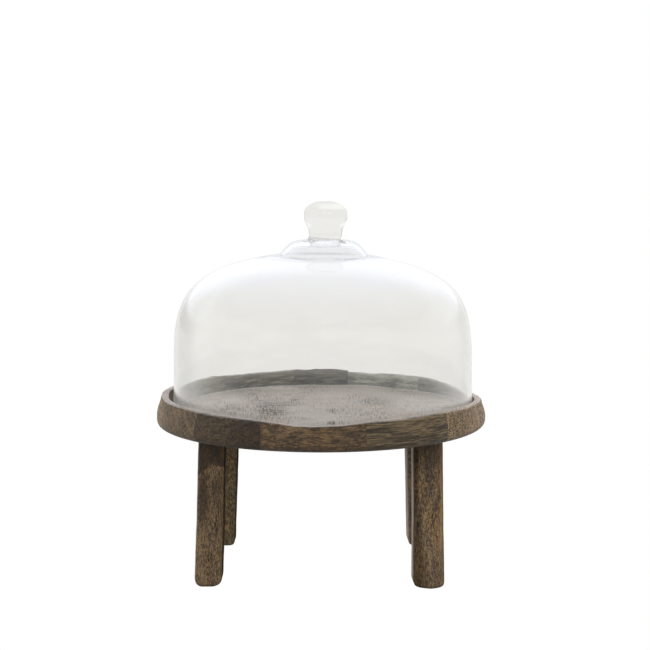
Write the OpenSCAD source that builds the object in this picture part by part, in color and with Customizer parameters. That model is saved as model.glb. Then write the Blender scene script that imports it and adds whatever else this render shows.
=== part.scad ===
// Glass cloche on a four-legged, hand-carved wooden tray.
// Frame: origin on the resting plane, on the vertical axis of the tray; +Z up, -Y is the front.
// The tray is a blank glued up from short staves that run left to right in six rows, turned round,
// hollowed to leave a raised rim, and hewn by hand along the top of that rim.
// Each leg is drawn up against the tray by a hanger bolt that screws into a brass insert.
// The blown glass dome stands loose in the tray and lifts straight off by its knob.

/* [Tray] */
// Largest diameter of the tray
tray_d = 305; // [260:1:360]
// Thickness of the glued-up blank at its highest point on the rim
blank_t = 28.5; // [24:0.5:34]
// Thickness of the tray floor
floor_t = 13; // [12:0.5:16]
// Diameter of the flat floor inside the rim
floor_d = 285; // [282:1:292]
// Outward lean of the rim's inner wall, top against bottom
rim_lean = 1.6; // [0.5:0.1:4]
// Gap left by a glue line between two staves
glue_gap = 0.1; // [0.05:0.01:0.3]

/* [Legs] */
// Height of the legs, ground to tray
leg_h = 130; // [80:1:180]
// Width of a leg, left to right
leg_w = 26; // [22:0.5:34]
// Depth of a leg, front to back
leg_t = 28; // [22:0.5:34]
// Distance of the leg centres from the middle, left and right
leg_x = 96; // [84:0.5:100]
// Distance of the leg centres from the middle, front and back
leg_y = 68; // [58:0.5:76]
// Outward splay of the legs in degrees
leg_splay = 1.2; // [0:0.1:3]
// Radius of a leg's long edges
leg_r = 3.5; // [1:0.5:6]
// Inset of the tilted blocks that touch a foot from below
foot_bevel = 2.5; // [1:0.5:6]

/* [Glass dome] */
// Outside diameter of the dome
dome_d = 279; // [250:1:281]
// Height of the dome's crown above the tray floor
crown_h = 138.8; // [110:0.1:170]
// Height of the part of the dome that curves
curve_h = 96; // [70:1:105]
// Wall thickness of the glass
glass_t = 3.2; // [2.5:0.1:4]
// Radius of the raised collar blown in the crown
collar_r = 41; // [34:0.5:46]

/* [Knob] */
// Height of the knob above the collar
knob_h = 36.2; // [28:0.2:44]
// Radius of the knob's head
knob_r = 20.5; // [17:0.1:24]
// Radius of the knob's foot, where it is fused to the collar
knob_foot_r = 16.8; // [15:0.1:19]

/* [Hardware] */
// Outside diameter of a brass threaded insert
insert_d = 10; // [9:0.5:12]
// Length of a brass threaded insert
insert_l = 9; // [8:0.5:9.5]
// Thread diameter of the hanger bolts
bolt_d = 6; // [5:1:6]
// Diameter of the wood-screw end of a hanger bolt
screw_d = 7; // [6:0.5:8]
// Length of the wood-screw end of a hanger bolt
screw_l = 32; // [20:1:45]

/* [Hidden] */

wood = [0.40, 0.33, 0.25];
wood_dark = [0.30, 0.25, 0.20];
brass = [0.78, 0.62, 0.30];
steel = [0.62, 0.63, 0.64];
dome_glass = [0.86, 0.90, 0.89, 0.4];
knob_glass = [0.86, 0.90, 0.89, 0.5];

tray_r = tray_d / 2;
floor_r = floor_d / 2;
floor_z = leg_h + floor_t;
rim_z = leg_h + blank_t;

// ---- Helpers ----------------------------------------------------------

// Points along a circular arc round centre, between two angles.
function arc(centre, radius, start, end, steps = 6) =
    [for (i = [0 : steps])
        let (angle = start + (end - start) * i / steps)
        centre + radius * [cos(angle), sin(angle)]];

// Point at share t of the way from p1 to p2 on a Catmull-Rom curve.
function catmull_rom(p0, p1, p2, p3, t) =
    0.5 * ((2 * p1) + (p2 - p0) * t + (2 * p0 - 5 * p1 + 4 * p2 - p3) * t * t
           + (3 * p1 - p0 - 3 * p2 + p3) * t * t * t);

// Catmull-Rom curve through a list of points.
function spline(points, steps = 4) =
    let (last = len(points) - 1)
    concat(
        [for (i = [0 : last - 1]) for (j = [0 : steps - 1])
            catmull_rom(points[max(i - 1, 0)], points[i], points[i + 1],
                        points[min(i + 2, last)], j / steps)],
        [points[last]]);

// Puts the children at all four leg centres, at height z.
module at_legs(z) {
    for (side_x = [-1, 1]) for (side_y = [-1, 1])
        translate([side_x * leg_x, side_y * leg_y, z]) children();
}

// ---- Tray -------------------------------------------------------------

// Row boundaries of the blank, front to back, as fractions of the tray's radius.
row_bounds = [-1.02, -0.695, -0.354, -0.013, 0.328, 0.669, 1.02];
// Butt joints in each row, left to right, as fractions of the tray's radius.
row_joints = [[-0.343, 0.243],
              [-0.197, 0.407],
              [-0.370, 0.223],
              [-0.643, -0.052, 0.551],
              [-0.420, 0.289],
              [-0.193, 0.172]];
// How far the end staves of a row are cut past the tray's edge.
stave_over = 2;

// Hewn cuts: [azimuth in degrees from +X towards +Y, depth below the top of the blank, cut radius].
rim_cuts = [[-94, 6.8, 340], [-52, 2.4, 420], [-20, 2.7, 380], [12, 2.9, 420],
            [44, 2.8, 380], [70, 3.0, 300], [114, 2.4, 260], [150, 0.9, 300],
            [178, 1.3, 420], [-150, 2.7, 420], [-127, 1.5, 260]];
// A stave takes only the cuts within this many degrees of its middle.
cut_reach = 75;

// Half section of the turned tray, from the axis out along the underside and back over the rim.
module tray_profile() {
    bottom_round = 5.6;
    rim_inset = 2.2;
    rim_outer_round = 2.2;
    rim_inner_round = 1.2;
    floor_round = 1.8;
    rim_outer_r = tray_r - rim_inset;
    rim_inner_r = floor_r + rim_lean;
    polygon(concat(
        [[0, leg_h]],
        arc([tray_r - bottom_round, leg_h + bottom_round], bottom_round, -90, -4),
        [[tray_r, leg_h + 8], [tray_r, rim_z - 9], [tray_r - 0.7, rim_z - 5]],
        arc([rim_outer_r - rim_outer_round, rim_z - rim_outer_round], rim_outer_round, 20, 90, 4),
        arc([rim_inner_r + rim_inner_round, rim_z - rim_inner_round], rim_inner_round, 90, 175, 3),
        [[floor_r + 0.5, floor_z + 2.5]],
        arc([floor_r - 1.6, floor_z + floor_round], floor_round, -20, -90, 3),
        [[0, floor_z]]));
}

// One hewn hollow in the top of the rim: a wide cylinder laid across the rim, pointing at the axis.
module rim_cut(azimuth, depth, radius) {
    rotate([0, 0, azimuth])
        translate([tray_r + 4, 0, rim_z - depth + radius])
            rotate([0, -90, 0]) cylinder(r = radius, h = tray_r - floor_r + 24, $fn = 360);
}

// Smaller angle between two azimuths.
function turn(a, b) = let (d = abs(a - b) % 360) min(d, 360 - d);

// One stave; rows count from the front and places in a row from the left, both from 0.
module stave(row, place) {
    ends = concat([-tray_r - stave_over],
                  [for (joint = row_joints[row]) joint * tray_r],
                  [tray_r + stave_over]);
    left = ends[place] + glue_gap / 2;
    right = ends[place + 1] - glue_gap / 2;
    front = row_bounds[row] * tray_r + glue_gap / 2;
    back = row_bounds[row + 1] * tray_r - glue_gap / 2;
    reach = max([for (x = [left, right]) for (y = [front, back]) norm([x, y])]);
    azimuth = atan2((front + back) / 2, (left + right) / 2);
    color(wood)
    difference() {
        intersection() {
            rotate_extrude($fn = 180) tray_profile();
            translate([left, front, leg_h - 1]) cube([right - left, back - front, blank_t + 2]);
        }
        // only staves that reach the rim are hewn
        if (reach > floor_r)
            for (cut = rim_cuts)
                if (turn(cut[0], azimuth) < cut_reach) rim_cut(cut[0], cut[1], cut[2]);
        // sockets for the threaded inserts
        at_legs(leg_h - 1) cylinder(d = insert_d, h = insert_l + 1.5, $fn = 48);
    }
}

// ---- Legs -------------------------------------------------------------

// Hair of clearance between a leg's top and the tray.
leg_gap = 0.02;
// Extra length at each end of the splayed post, trimmed off level.
post_over = 10;

// A squared post with rounded long edges, standing on z = 0.
module post(height) {
    half_w = leg_w / 2;
    half_t = leg_t / 2;
    translate([-half_w + leg_r, -half_t, 0]) cube([leg_w - 2 * leg_r, leg_t, height]);
    translate([-half_w, -half_t + leg_r, 0]) cube([leg_w, leg_t - 2 * leg_r, height]);
    for (x = [-1, 1]) for (y = [-1, 1])
        translate([x * (half_w - leg_r), y * (half_t - leg_r), 0])
            cylinder(r = leg_r, h = height, $fn = 32);
}

// side_x: -1 left, 1 right. side_y: -1 front, 1 rear. yaw: how far the leg is turned on its bolt.
module leg(side_x, side_y, yaw = 0) {
    foot_shift = side_x * leg_h * tan(leg_splay);
    // right, rear, left and front edges of the foot, as distances from the bolt's axis
    foot_edges = [leg_w / 2 + foot_shift, leg_t / 2, leg_w / 2 - foot_shift, leg_t / 2];
    color(wood_dark)
    translate([side_x * leg_x, side_y * leg_y, 0])
    rotate([0, 0, yaw])
    difference() {
        intersection() {
            translate([0, 0, leg_h]) rotate([0, -side_x * leg_splay, 0])
                translate([0, 0, -leg_h - post_over]) post(leg_h + 2 * post_over);
            translate([-50, -50, 0]) cube([100, 100, leg_h - leg_gap]);
        }
        // tilted blocks that only touch the underside along a line, so the foot stays square
        for (i = [0 : 3])
            rotate([0, 0, i * 90])
                translate([foot_edges[i] - foot_bevel, 0, 0])
                    rotate([0, 50, 0]) translate([0, -40, -30]) cube([20, 80, 30]);
        // pilot hole for the hanger bolt
        translate([0, 0, leg_h - screw_l - 2]) cylinder(d = screw_d, h = screw_l + 3, $fn = 48);
    }
}

// ---- Hardware ---------------------------------------------------------

// Ribbed sleeve with a plain band at its lower end, standing on z = 0.
module threaded_insert() {
    outer_d = insert_d - 0.06;
    groove_d = insert_d - 1.2;
    band_h = 2;
    groove_h = 0.5;
    ribs = 4;
    rib_pitch = (insert_l - band_h) / ribs;
    difference() {
        union() {
            cylinder(d = outer_d, h = band_h, $fn = 48);
            for (i = [0 : ribs - 1]) translate([0, 0, band_h + i * rib_pitch]) {
                cylinder(d = groove_d, h = rib_pitch, $fn = 48);
                translate([0, 0, groove_h])
                    cylinder(d = outer_d, h = rib_pitch - groove_h, $fn = 48);
            }
        }
        translate([0, 0, -1]) cylinder(d = bolt_d + 0.1, h = insert_l + 2, $fn = 48);
    }
}

// Machine-thread end up, wood-screw end down, joint plane at z = 0. Threads are plain rings.
module hanger_bolt() {
    top = insert_l - 0.6;
    bolt_r = bolt_d / 2;
    bolt_root_r = bolt_r - 0.45;
    bolt_pitch = 1;
    bolt_turns = floor((top - 1) / bolt_pitch);
    screw_r = screw_d / 2 - 0.05;
    screw_root_r = screw_r - 1.0;
    screw_pitch = 2.5;
    screw_turns = floor((screw_l - 8) / screw_pitch);
    rotate_extrude($fn = 48)
        polygon(concat(
            [[0, top], [bolt_r - 0.9, top]],
            [for (i = [0 : bolt_turns - 1]) let (z = top - i * bolt_pitch)
                each [[bolt_root_r, z - 0.5], [bolt_r, z - 0.75], [bolt_root_r, z - 1]]],
            [[bolt_r - 0.3, 0.2], [bolt_r, -0.2], [bolt_r, -4], [screw_root_r, -4.6]],
            [for (i = [0 : screw_turns - 1]) let (z = -i * screw_pitch)
                each [[screw_root_r, z - 5.4], [screw_r, z - 6.4], [screw_root_r, z - 7.1]]],
            [[0, -screw_l + 0.5]]));
}

module threaded_inserts() {
    color(brass) at_legs(leg_h) threaded_insert();
}

module hanger_bolts() {
    color(steel) at_legs(leg_h) hanger_bolt();
}

// ---- Glass dome -------------------------------------------------------

dome_r = dome_d / 2;
crown_z = floor_z + crown_h;
// Top of the collar, where the knob sits.
seat_z = crown_z + 18.3;

// Superellipse exponents of the dome's curve, across and up.
exponent_r = 3.3;
exponent_z = 3.26;
// Rise of the crown towards the collar: height, and the distance over which it fades.
crown_rise = 5.3;
crown_fade = 32;

// Collar outlines, as shares of the way [in from collar_r to the knob's foot, up the collar].
// Outside, going up.
collar_outside = [[0.037, 0.16], [0.128, 0.335], [0.256, 0.58],
                  [0.41, 0.80], [0.60, 0.93], [0.785, 0.985]];
// Inside, going down.
collar_inside = [[0.99, 0.993], [0.70, 0.933], [0.505, 0.80],
                 [0.355, 0.585], [0.227, 0.36], [0.124, 0.17]];

// The curved part of the dome, from its full radius in to end_r.
function shell(radius, height, top_z, end_r, steps = 26) =
    let (end_angle = asin(pow(end_r / radius, exponent_r / 2)))
    [for (i = [0 : steps])
        let (angle = 90 - (90 - end_angle) * i / steps,
             r = radius * pow(sin(angle), 2 / exponent_r))
        [r, top_z - height + height * pow(max(cos(angle), 0), 2 / exponent_z)
            + crown_rise * exp(-(r - collar_r - 2) / crown_fade)]];

function collar_points(shares, base_z, height) =
    [for (share = shares)
        [collar_r - share[0] * (collar_r - knob_foot_r), base_z + share[1] * height]];

// Outside of the collar, up from the crown to the knob's seat.
function collar_outer(base_z) =
    let (height = seat_z - base_z)
    spline(concat(
        [[collar_r + 4, base_z], [collar_r + 1.2, base_z + 0.055 * height]],
        collar_points(collar_outside, base_z, height),
        [[knob_foot_r, seat_z]]));

// Inside of the collar, from the axis out and down to the crown.
function collar_inner(base_z) =
    let (top = seat_z - 1.125 * glass_t, height = top - base_z)
    spline(concat(
        [[0, top]],
        collar_points(collar_inside, base_z, height),
        [[collar_r + 0.6, base_z + 0.055 * height], [collar_r + 5, base_z]]));

// Half section of the dome: rounded lip, up the outside, then back down the inside.
module dome_profile() {
    lip_r = glass_t / 2;
    outer = shell(dome_r, curve_h, crown_z, collar_r + 4.5);
    inner = shell(dome_r - glass_t, curve_h - glass_t, crown_z - glass_t, collar_r + 5.5);
    inner_last = len(inner) - 1;
    polygon(concat(
        arc([dome_r - lip_r, floor_z + lip_r], lip_r, -180, 0, 8),
        outer,
        collar_outer(outer[len(outer) - 1][1]),
        [[0, seat_z]],
        collar_inner(inner[inner_last][1]),
        [for (i = [inner_last : -1 : 0]) inner[i]]));
}

module glass_dome() {
    color(dome_glass) rotate_extrude($fn = 180) dome_profile();
}

// ---- Glass knob -------------------------------------------------------

// Knob outline from the foot up: [share of knob_r, share of knob_h].
knob_outline = [
    [0.785, 0.015], [0.752, 0.05], [0.748, 0.10], [0.758, 0.18], [0.785, 0.26], [0.825, 0.335],
    [0.88, 0.40], [0.945, 0.47], [0.99, 0.55], [1, 0.63], [0.995, 0.70], [0.965, 0.765],
    [0.905, 0.82], [0.80, 0.875], [0.65, 0.93], [0.47, 0.972], [0.24, 0.995], [0, 1]];

module glass_knob() {
    color(knob_glass)
    translate([0, 0, seat_z])
    rotate_extrude($fn = 96)
        polygon(concat(
            [[0, 0]],
            spline(concat(
                [[knob_foot_r, 0]],
                [for (share = knob_outline) [share[0] * knob_r, share[1] * knob_h]]))));
}

// ---- Nodes ------------------------------------------------------------

stave(0, 0);  // stave_a1
stave(0, 1);  // stave_a2
stave(0, 2);  // stave_a3
stave(1, 0);  // stave_b1
stave(1, 1);  // stave_b2
stave(1, 2);  // stave_b3
stave(2, 0);  // stave_c1
stave(2, 1);  // stave_c2
stave(2, 2);  // stave_c3
stave(3, 0);  // stave_d1
stave(3, 1);  // stave_d2
stave(3, 2);  // stave_d3
stave(3, 3);  // stave_d4
stave(4, 0);  // stave_e1
stave(4, 1);  // stave_e2
stave(4, 2);  // stave_e3
stave(5, 0);  // stave_f1
stave(5, 1);  // stave_f2
stave(5, 2);  // stave_f3
leg(-1, -1);  // leg_front_left
leg(1, -1, yaw = 5);  // leg_front_right
leg(-1, 1);  // leg_rear_left
leg(1, 1);  // leg_rear_right
threaded_inserts();
hanger_bolts();
glass_dome();
glass_knob();
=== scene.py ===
import math

import bmesh
import bpy
import numpy as np
from mathutils import Matrix, Vector
from mathutils import noise as mnoise


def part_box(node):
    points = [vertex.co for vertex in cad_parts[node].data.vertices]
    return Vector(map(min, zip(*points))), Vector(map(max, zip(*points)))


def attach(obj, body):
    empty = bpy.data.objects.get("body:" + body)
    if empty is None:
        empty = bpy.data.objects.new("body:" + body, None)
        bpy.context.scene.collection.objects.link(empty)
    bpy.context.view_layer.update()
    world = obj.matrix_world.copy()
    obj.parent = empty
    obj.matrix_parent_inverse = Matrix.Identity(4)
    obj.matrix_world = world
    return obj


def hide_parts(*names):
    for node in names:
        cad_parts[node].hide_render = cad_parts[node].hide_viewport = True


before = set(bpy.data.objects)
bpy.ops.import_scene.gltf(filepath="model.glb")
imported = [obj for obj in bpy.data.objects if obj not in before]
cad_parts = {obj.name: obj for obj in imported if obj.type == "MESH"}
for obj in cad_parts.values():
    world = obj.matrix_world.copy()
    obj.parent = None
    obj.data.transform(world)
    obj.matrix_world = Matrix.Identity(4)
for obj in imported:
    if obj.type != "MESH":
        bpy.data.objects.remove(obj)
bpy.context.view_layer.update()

# ---------------------------------------------------------------- sizes, all from the frame, in millimetres
MM = 1000.0


def nbox(node):
    lo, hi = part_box(node)
    return np.array(lo) * MM, np.array(hi) * MM


ROWS = {"a": 3, "b": 3, "c": 3, "d": 4, "e": 3, "f": 3}
STAVES = [f"stave_{r}{k + 1}" for r, n in ROWS.items() for k in range(n)]
LEGS = ["leg_front_left", "leg_front_right", "leg_rear_left", "leg_rear_right"]
BOX = {n: nbox(n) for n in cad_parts}

UNDER = float(BOX["stave_c2"][0][2])  # tray underside
FLOOR = float(BOX["stave_c2"][1][2])  # tray floor
TRAY_R = float(max(BOX[s][1][0] for s in STAVES))
RIM_Z = float(max(BOX[s][1][2] for s in STAVES))
DOME_R = float(BOX["glass_dome"][1][0])
SEAT_Z = float(BOX["glass_dome"][1][2])
CROWN_Z = SEAT_Z - 18.3
KNOB_TOP = float(BOX["glass_knob"][1][2])
GAP = 0.1
ROW_Y = []
for r in "abcde":
    ROW_Y.append((BOX[f"stave_{r}2"][1][1] + BOX[f"stave_{chr(ord(r) + 1)}2"][0][1]) / 2)
ROW_Y = [-400.0] + [float(v) for v in ROW_Y] + [400.0]
JOINTS = {}
for r, n in ROWS.items():
    JOINTS[r] = [-400.0] + [float((BOX[f"stave_{r}{k}"][1][0] + BOX[f"stave_{r}{k + 1}"][0][0]) / 2) for k in range(1, n)] + [400.0]
_lo, _hi = BOX["threaded_inserts"]
_ix = (float(_hi[0] - _lo[0]) - 9.94) / 2
_iy = (float(_hi[1] - _lo[1]) - 9.94) / 2
HOLES = [(sx * _ix, sy * _iy) for sx, sy in ((-1, -1), (1, -1), (-1, 1), (1, 1))]


# ---------------------------------------------------------------- noise
def pn(p, scale, off=0.0):
    """Perlin noise, -1..1, at points p (n,3) in mm, with features about `scale` mm across."""
    q = p / scale + off
    f = mnoise.noise
    return np.array([f(v) for v in q.tolist()])


def smooth(a, b, x):
    t = np.clip((x - a) / (b - a), 0, 1)
    return t * t * (3 - 2 * t)


# ---------------------------------------------------------------- meshes
def new_mesh(name, verts_mm, faces, smooth_angle=None):
    me = bpy.data.meshes.new(name)
    me.from_pydata((np.asarray(verts_mm) / MM).tolist(), [], faces)
    me.validate()
    me.update()
    bm = bmesh.new()
    bm.from_mesh(me)
    bmesh.ops.recalc_face_normals(bm, faces=bm.faces)
    bm.to_mesh(me)
    bm.free()
    ob = bpy.data.objects.new(name, me)
    bpy.context.scene.collection.objects.link(ob)
    finish_mesh(ob, smooth_angle)
    return ob


def finish_mesh(ob, smooth_angle=None):
    me = ob.data
    me.polygons.foreach_set("use_smooth", [True] * len(me.polygons))
    if smooth_angle is not None:
        me.set_sharp_from_angle(angle=math.radians(smooth_angle))
    me.update()


def ring_faces(n, a, b):
    """Quads between two rings of n points whose first indices are a and b."""
    return [(a + j, a + (j + 1) % n, b + (j + 1) % n, b + j) for j in range(n)]


def ring_halve(n, a, b):
    """Triangles from a ring of n points at a to a ring of n/2 points at b."""
    out = []
    m = n // 2
    for j in range(m):
        f0, f1, f2 = a + 2 * j, a + 2 * j + 1, a + (2 * j + 2) % n
        c0, c1 = b + j, b + (j + 1) % m
        out += [(c0, f0, f1), (c0, f1, c1), (c1, f1, f2)]
    return out


# ---------------------------------------------------------------- tray
RIM_POINTS = [  # azimuth from the front, anticlockwise seen from above is negative x; height of the rim
    (-168, 158.0), (-158, 156.6), (-147, 156.3), (-132, 158.3), (-112, 157.2), (-90, 157.4), (-76, 156.4),
    (-63, 156.7), (-50.3, 157.0), (-38.2, 156.4), (-23.9, 155.6), (-16, 154.2), (-10, 152.5), (-5.8, 151.5), (0, 151.9),
    (5, 152.4), (9.5, 153.2), (15.7, 155.0), (26.2, 155.8), (38.3, 156.4), (53.6, 156.7), (64, 155.8), (75, 154.6), (88, 153.2),
    (98, 151.8), (106, 151.8), (118, 154.0), (130, 156.0), (153, 155.3)]
STEP_AZ = 180 - math.degrees(math.asin(JOINTS["f"][2] / 148.0))


def rim_height(az):
    """az in degrees, any shape, to rim height in mm. The rim steps where two rear staves meet."""
    pts = [((a - STEP_AZ) % 360, h) for a, h in RIM_POINTS]
    pts.sort()
    xs = np.array([0.0, 4.5] + [p[0] for p in pts] + [360.0])
    ys = np.array([156.6, 158.0] + [p[1] for p in pts] + [155.4])
    g = np.linspace(0, 360, 1441)
    v = np.interp(g, xs, ys)
    k = np.exp(-0.5 * (np.arange(-24, 25) * 0.25 / 2.6) ** 2)
    k /= k.sum()
    pad = np.concatenate([np.full(24, v[0]), v, np.full(24, v[-1])])
    v = np.convolve(pad, k, mode="valid")
    a = (np.asarray(az) - STEP_AZ) % 360
    h = np.interp(a, g, v)
    return h + (RIM_Z - 158.5)


def build_tray():
    N = 960
    az = np.arange(N) * 360.0 / N
    th = np.radians(az)
    H = rim_height(az)
    ux, uy = np.sin(th), -np.cos(th)
    circ = np.stack([ux * 150, uy * 150, np.zeros(N)], 1)
    rt, lt = smooth(0.2, 0.97, ux), smooth(0.2, 0.97, -ux)
    grow = 1.6 * lt - 0.4 * rt
    lean = 0.9 + np.where(ux > 0, 2.2, 2.7) * smooth(np.where(ux > 0, 0.78, 0.5), 0.99, np.abs(ux))
    r_out = TRAY_R + 0.35 * pn(circ, 60, 3.1) - 0.25 + grow
    e_out = 149.7 + 0.8 * pn(circ, 24, 7.7) + 0.35 * pn(circ, 9, 1.7) - 2.9 * rt - 1.0 * lt
    e_in = 144.4 + (0.8 * pn(circ, 28, 5.2) + 0.3 * pn(circ, 8, 2.2)) * (1 - 0.8 * rt) - 2.4 * rt - 1.1 * lt
    foot_in = 142.6 - 1.1 * rt - 0.4 * lt
    slope = 0.5 * pn(circ, 35, 9.4)
    rings = []  # (r, z, kind) with r, z arrays of N

    def add(r, z, kind):
        rings.append((np.broadcast_to(r, N).astype(float).copy(), np.broadcast_to(z, N).astype(float).copy(), kind))

    under_r = [146.0, 142, 136, 128, 118, 108]
    for r in reversed(under_r):
        add(r, UNDER, "under")
    rf = 5.8
    for i in range(9):
        a = math.radians(-90 + 86 * i / 8)
        add(r_out - rf + rf * math.cos(a), UNDER + rf + rf * math.sin(a), "wall")
    for i in range(1, 16):
        t = i / 15
        z = UNDER + 6.2 + (H - 3.6 - UNDER - 6.2) * t
        add(r_out + 0.25 * math.sin(math.pi * min(t * 1.3, 1.0)) - lean * t ** 1.8, z, "wall")
    r0 = r_out - lean
    for i in range(1, 8):
        a = math.pi / 2 * i / 7
        k = 0.86
        c, s = math.cos(a) ** k, math.sin(a) ** k
        add(e_out + (r0 - e_out) * c, (H - 3.6) + 3.6 * s + slope * 0.5 * s, "top")
    for i in range(1, 6):
        t = i / 5
        add(e_out + (e_in + 0.9 - e_out) * t, H + slope * (0.5 - t) + 0.25 * math.sin(math.pi * t), "top")
    for i in range(1, 6):
        a = math.pi / 2 * i / 5
        add(e_in + 0.9 - 1.4 * math.sin(a), H - slope * 0.5 - 1.5 + 1.5 * math.cos(a), "inner")
    z_top = H - slope * 0.5 - 1.5
    for i in range(1, 10):
        t = i / 9
        add((e_in - 0.5) + (foot_in - e_in + 0.5) * t ** 0.8, z_top + (FLOOR + 2.2 - z_top) * t, "inner")
    for i in range(1, 7):
        a = math.pi / 2 * i / 6
        add(foot_in - 2.2 + 2.2 * math.cos(a), FLOOR + 2.2 - 2.2 * math.sin(a), "fillet")
    floor_r = [138.9, 136.8, 134.5, 132, 129, 126, 123, 120, 117, 114, 111, 108]
    for r in floor_r:
        add(r, FLOOR, "floor")

    V = []
    for r, z, kind in rings:
        V.append(np.stack([r * ux, r * uy, z], 1))
    V = np.concatenate(V)
    kinds = np.repeat([k for _, _, k in rings], N)
    U = np.tile(np.stack([ux, uy, np.zeros(N)], 1), (len(rings), 1))

    # hewn flats round the outside
    rng = np.random.default_rng(11)
    rad = np.hypot(V[:, 0], V[:, 1])
    ang = np.degrees(np.arctan2(V[:, 0], -V[:, 1]))
    wall = (kinds == "wall") | (kinds == "top")
    cut = np.full(len(V), 1e9)
    for k in range(30):
        c = k * 12 + rng.uniform(-5, 5)
        depth = rng.uniform(0.15, 0.75)
        tilt = math.tan(math.radians(rng.uniform(-4, 4)))
        d = TRAY_R - depth - (V[:, 2] - 145) * tilt
        diff = np.radians((ang - c + 180) % 360 - 180)
        cut = np.minimum(cut, np.where(np.abs(diff) < 0.5, d / np.maximum(np.cos(diff), 0.1), 1e9))
    over = np.where(wall, np.maximum(rad - cut - np.tile(grow, len(rings)), 0), 0) * 0.8
    V -= U * over[:, None]

    # tool marks and grain relief
    n1, n2, n3 = pn(V, 20, 0.3), pn(V, 7.5, 4.4), pn(V * [0.35, 1, 1], 2.2, 8.1)
    amp = 0.30 * n1 + 0.16 * n2 + 0.07 * n3
    w_r = np.select([kinds == "wall", kinds == "top", kinds == "inner"], [0.9, 0.5, 0.8], 0.0)
    w_r *= np.where(kinds == "inner", 1 - 0.75 * np.tile(rt, len(rings)), 1.0)
    low = smooth(UNDER + 0.2, UNDER + 5, V[:, 2])
    V += U * (amp * w_r * np.where(kinds == "wall", low, 1))[:, None]
    w_z = np.select([kinds == "top", kinds == "inner"], [0.9, 0.45], 0.0) * smooth(FLOOR + 3, FLOOR + 8, V[:, 2])
    m1 = pn(V, 14, 12.3)
    V[:, 2] += (0.32 * m1 + 0.14 * n2 + 0.06 * n3) * w_z * (1 + 1.2 * smooth(60, 120, V[:, 1]))

    faces = []
    K = len(rings)
    for i in range(K - 1):
        faces += ring_faces(N, i * N, (i + 1) * N)

    # discs: underside and floor, with fewer points towards the middle
    def disc(first, r_list, z, relief):
        nonlocal V
        n, a = N, first
        new_faces, pts, base = [], [], len(V)
        for r, halve in r_list:
            m = n // 2 if halve else n
            t = np.arange(m) * 2 * math.pi / m
            ring = np.stack([r * np.sin(t), -r * np.cos(t), np.full(m, z)], 1)
            pts.append(ring)
            b = base
            new_faces.extend(ring_halve(n, a, b) if halve else ring_faces(n, a, b))
            base += m
            n, a = m, b
        pts.append(np.array([[0.0, 0.0, z]]))
        new_faces.extend([(a + j, a + (j + 1) % n, base) for j in range(n)])
        P = np.concatenate(pts)
        if relief:
            q = P.copy()
            P[:, 2] -= relief * np.abs(0.6 * pn(q, 26, 2.9) + 0.4 * pn(q, 9, 6.1)) * smooth(136, 120, np.hypot(q[:, 0], q[:, 1]))
        V = np.concatenate([V, P])
        return new_faces

    inner = [(105, False), (102, True), (98, False), (94, False), (90, False), (86, False), (82, False), (78, False), (74, False),
             (70, False), (66, False), (62, False), (58, False), (54, False), (51, True), (47, False), (43, False), (39, False),
             (35, False), (31, False), (27, False), (24.5, True), (21, False), (17, False), (14, False), (12, True), (9, False), (6.5, False),
             (5, True), (3, False)]
    flr = V[(K - 1) * N:K * N]
    faces += disc((K - 1) * N, inner, FLOOR, 0.3)
    faces += disc(0, inner, UNDER, 0.0)
    return V, faces


def cut_cap(bm, co, no):
    """Keeps the side of a plane that its normal points to, and closes the cut."""
    geom = bm.verts[:] + bm.edges[:] + bm.faces[:]
    bmesh.ops.bisect_plane(bm, geom=geom, dist=5e-6, plane_co=co, plane_no=no, clear_inner=True, clear_outer=False)
    rim = [v for v in bm.verts if any(len(e.link_faces) < 2 for e in v.link_edges)]
    bmesh.ops.remove_doubles(bm, verts=rim, dist=1e-5)
    loose = [e for e in bm.edges if not e.link_faces]
    if loose:
        bmesh.ops.delete(bm, geom=loose, context="EDGES")
    todo = {e for e in bm.edges if e.is_boundary}
    while todo:
        e = todo.pop()
        first, v = e.verts
        loop = [first, v]
        while True:
            nxt = next((k for k in v.link_edges if k in todo), None)
            if nxt is None:
                break
            todo.discard(nxt)
            v = nxt.other_vert(v)
            if v is first:
                break
            loop.append(v)
        if len(loop) > 2:
            face = bm.faces.new(loop)
            face.normal_update()
            bmesh.ops.triangulate(bm, faces=[face], ngon_method="EAR_CLIP")


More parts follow.
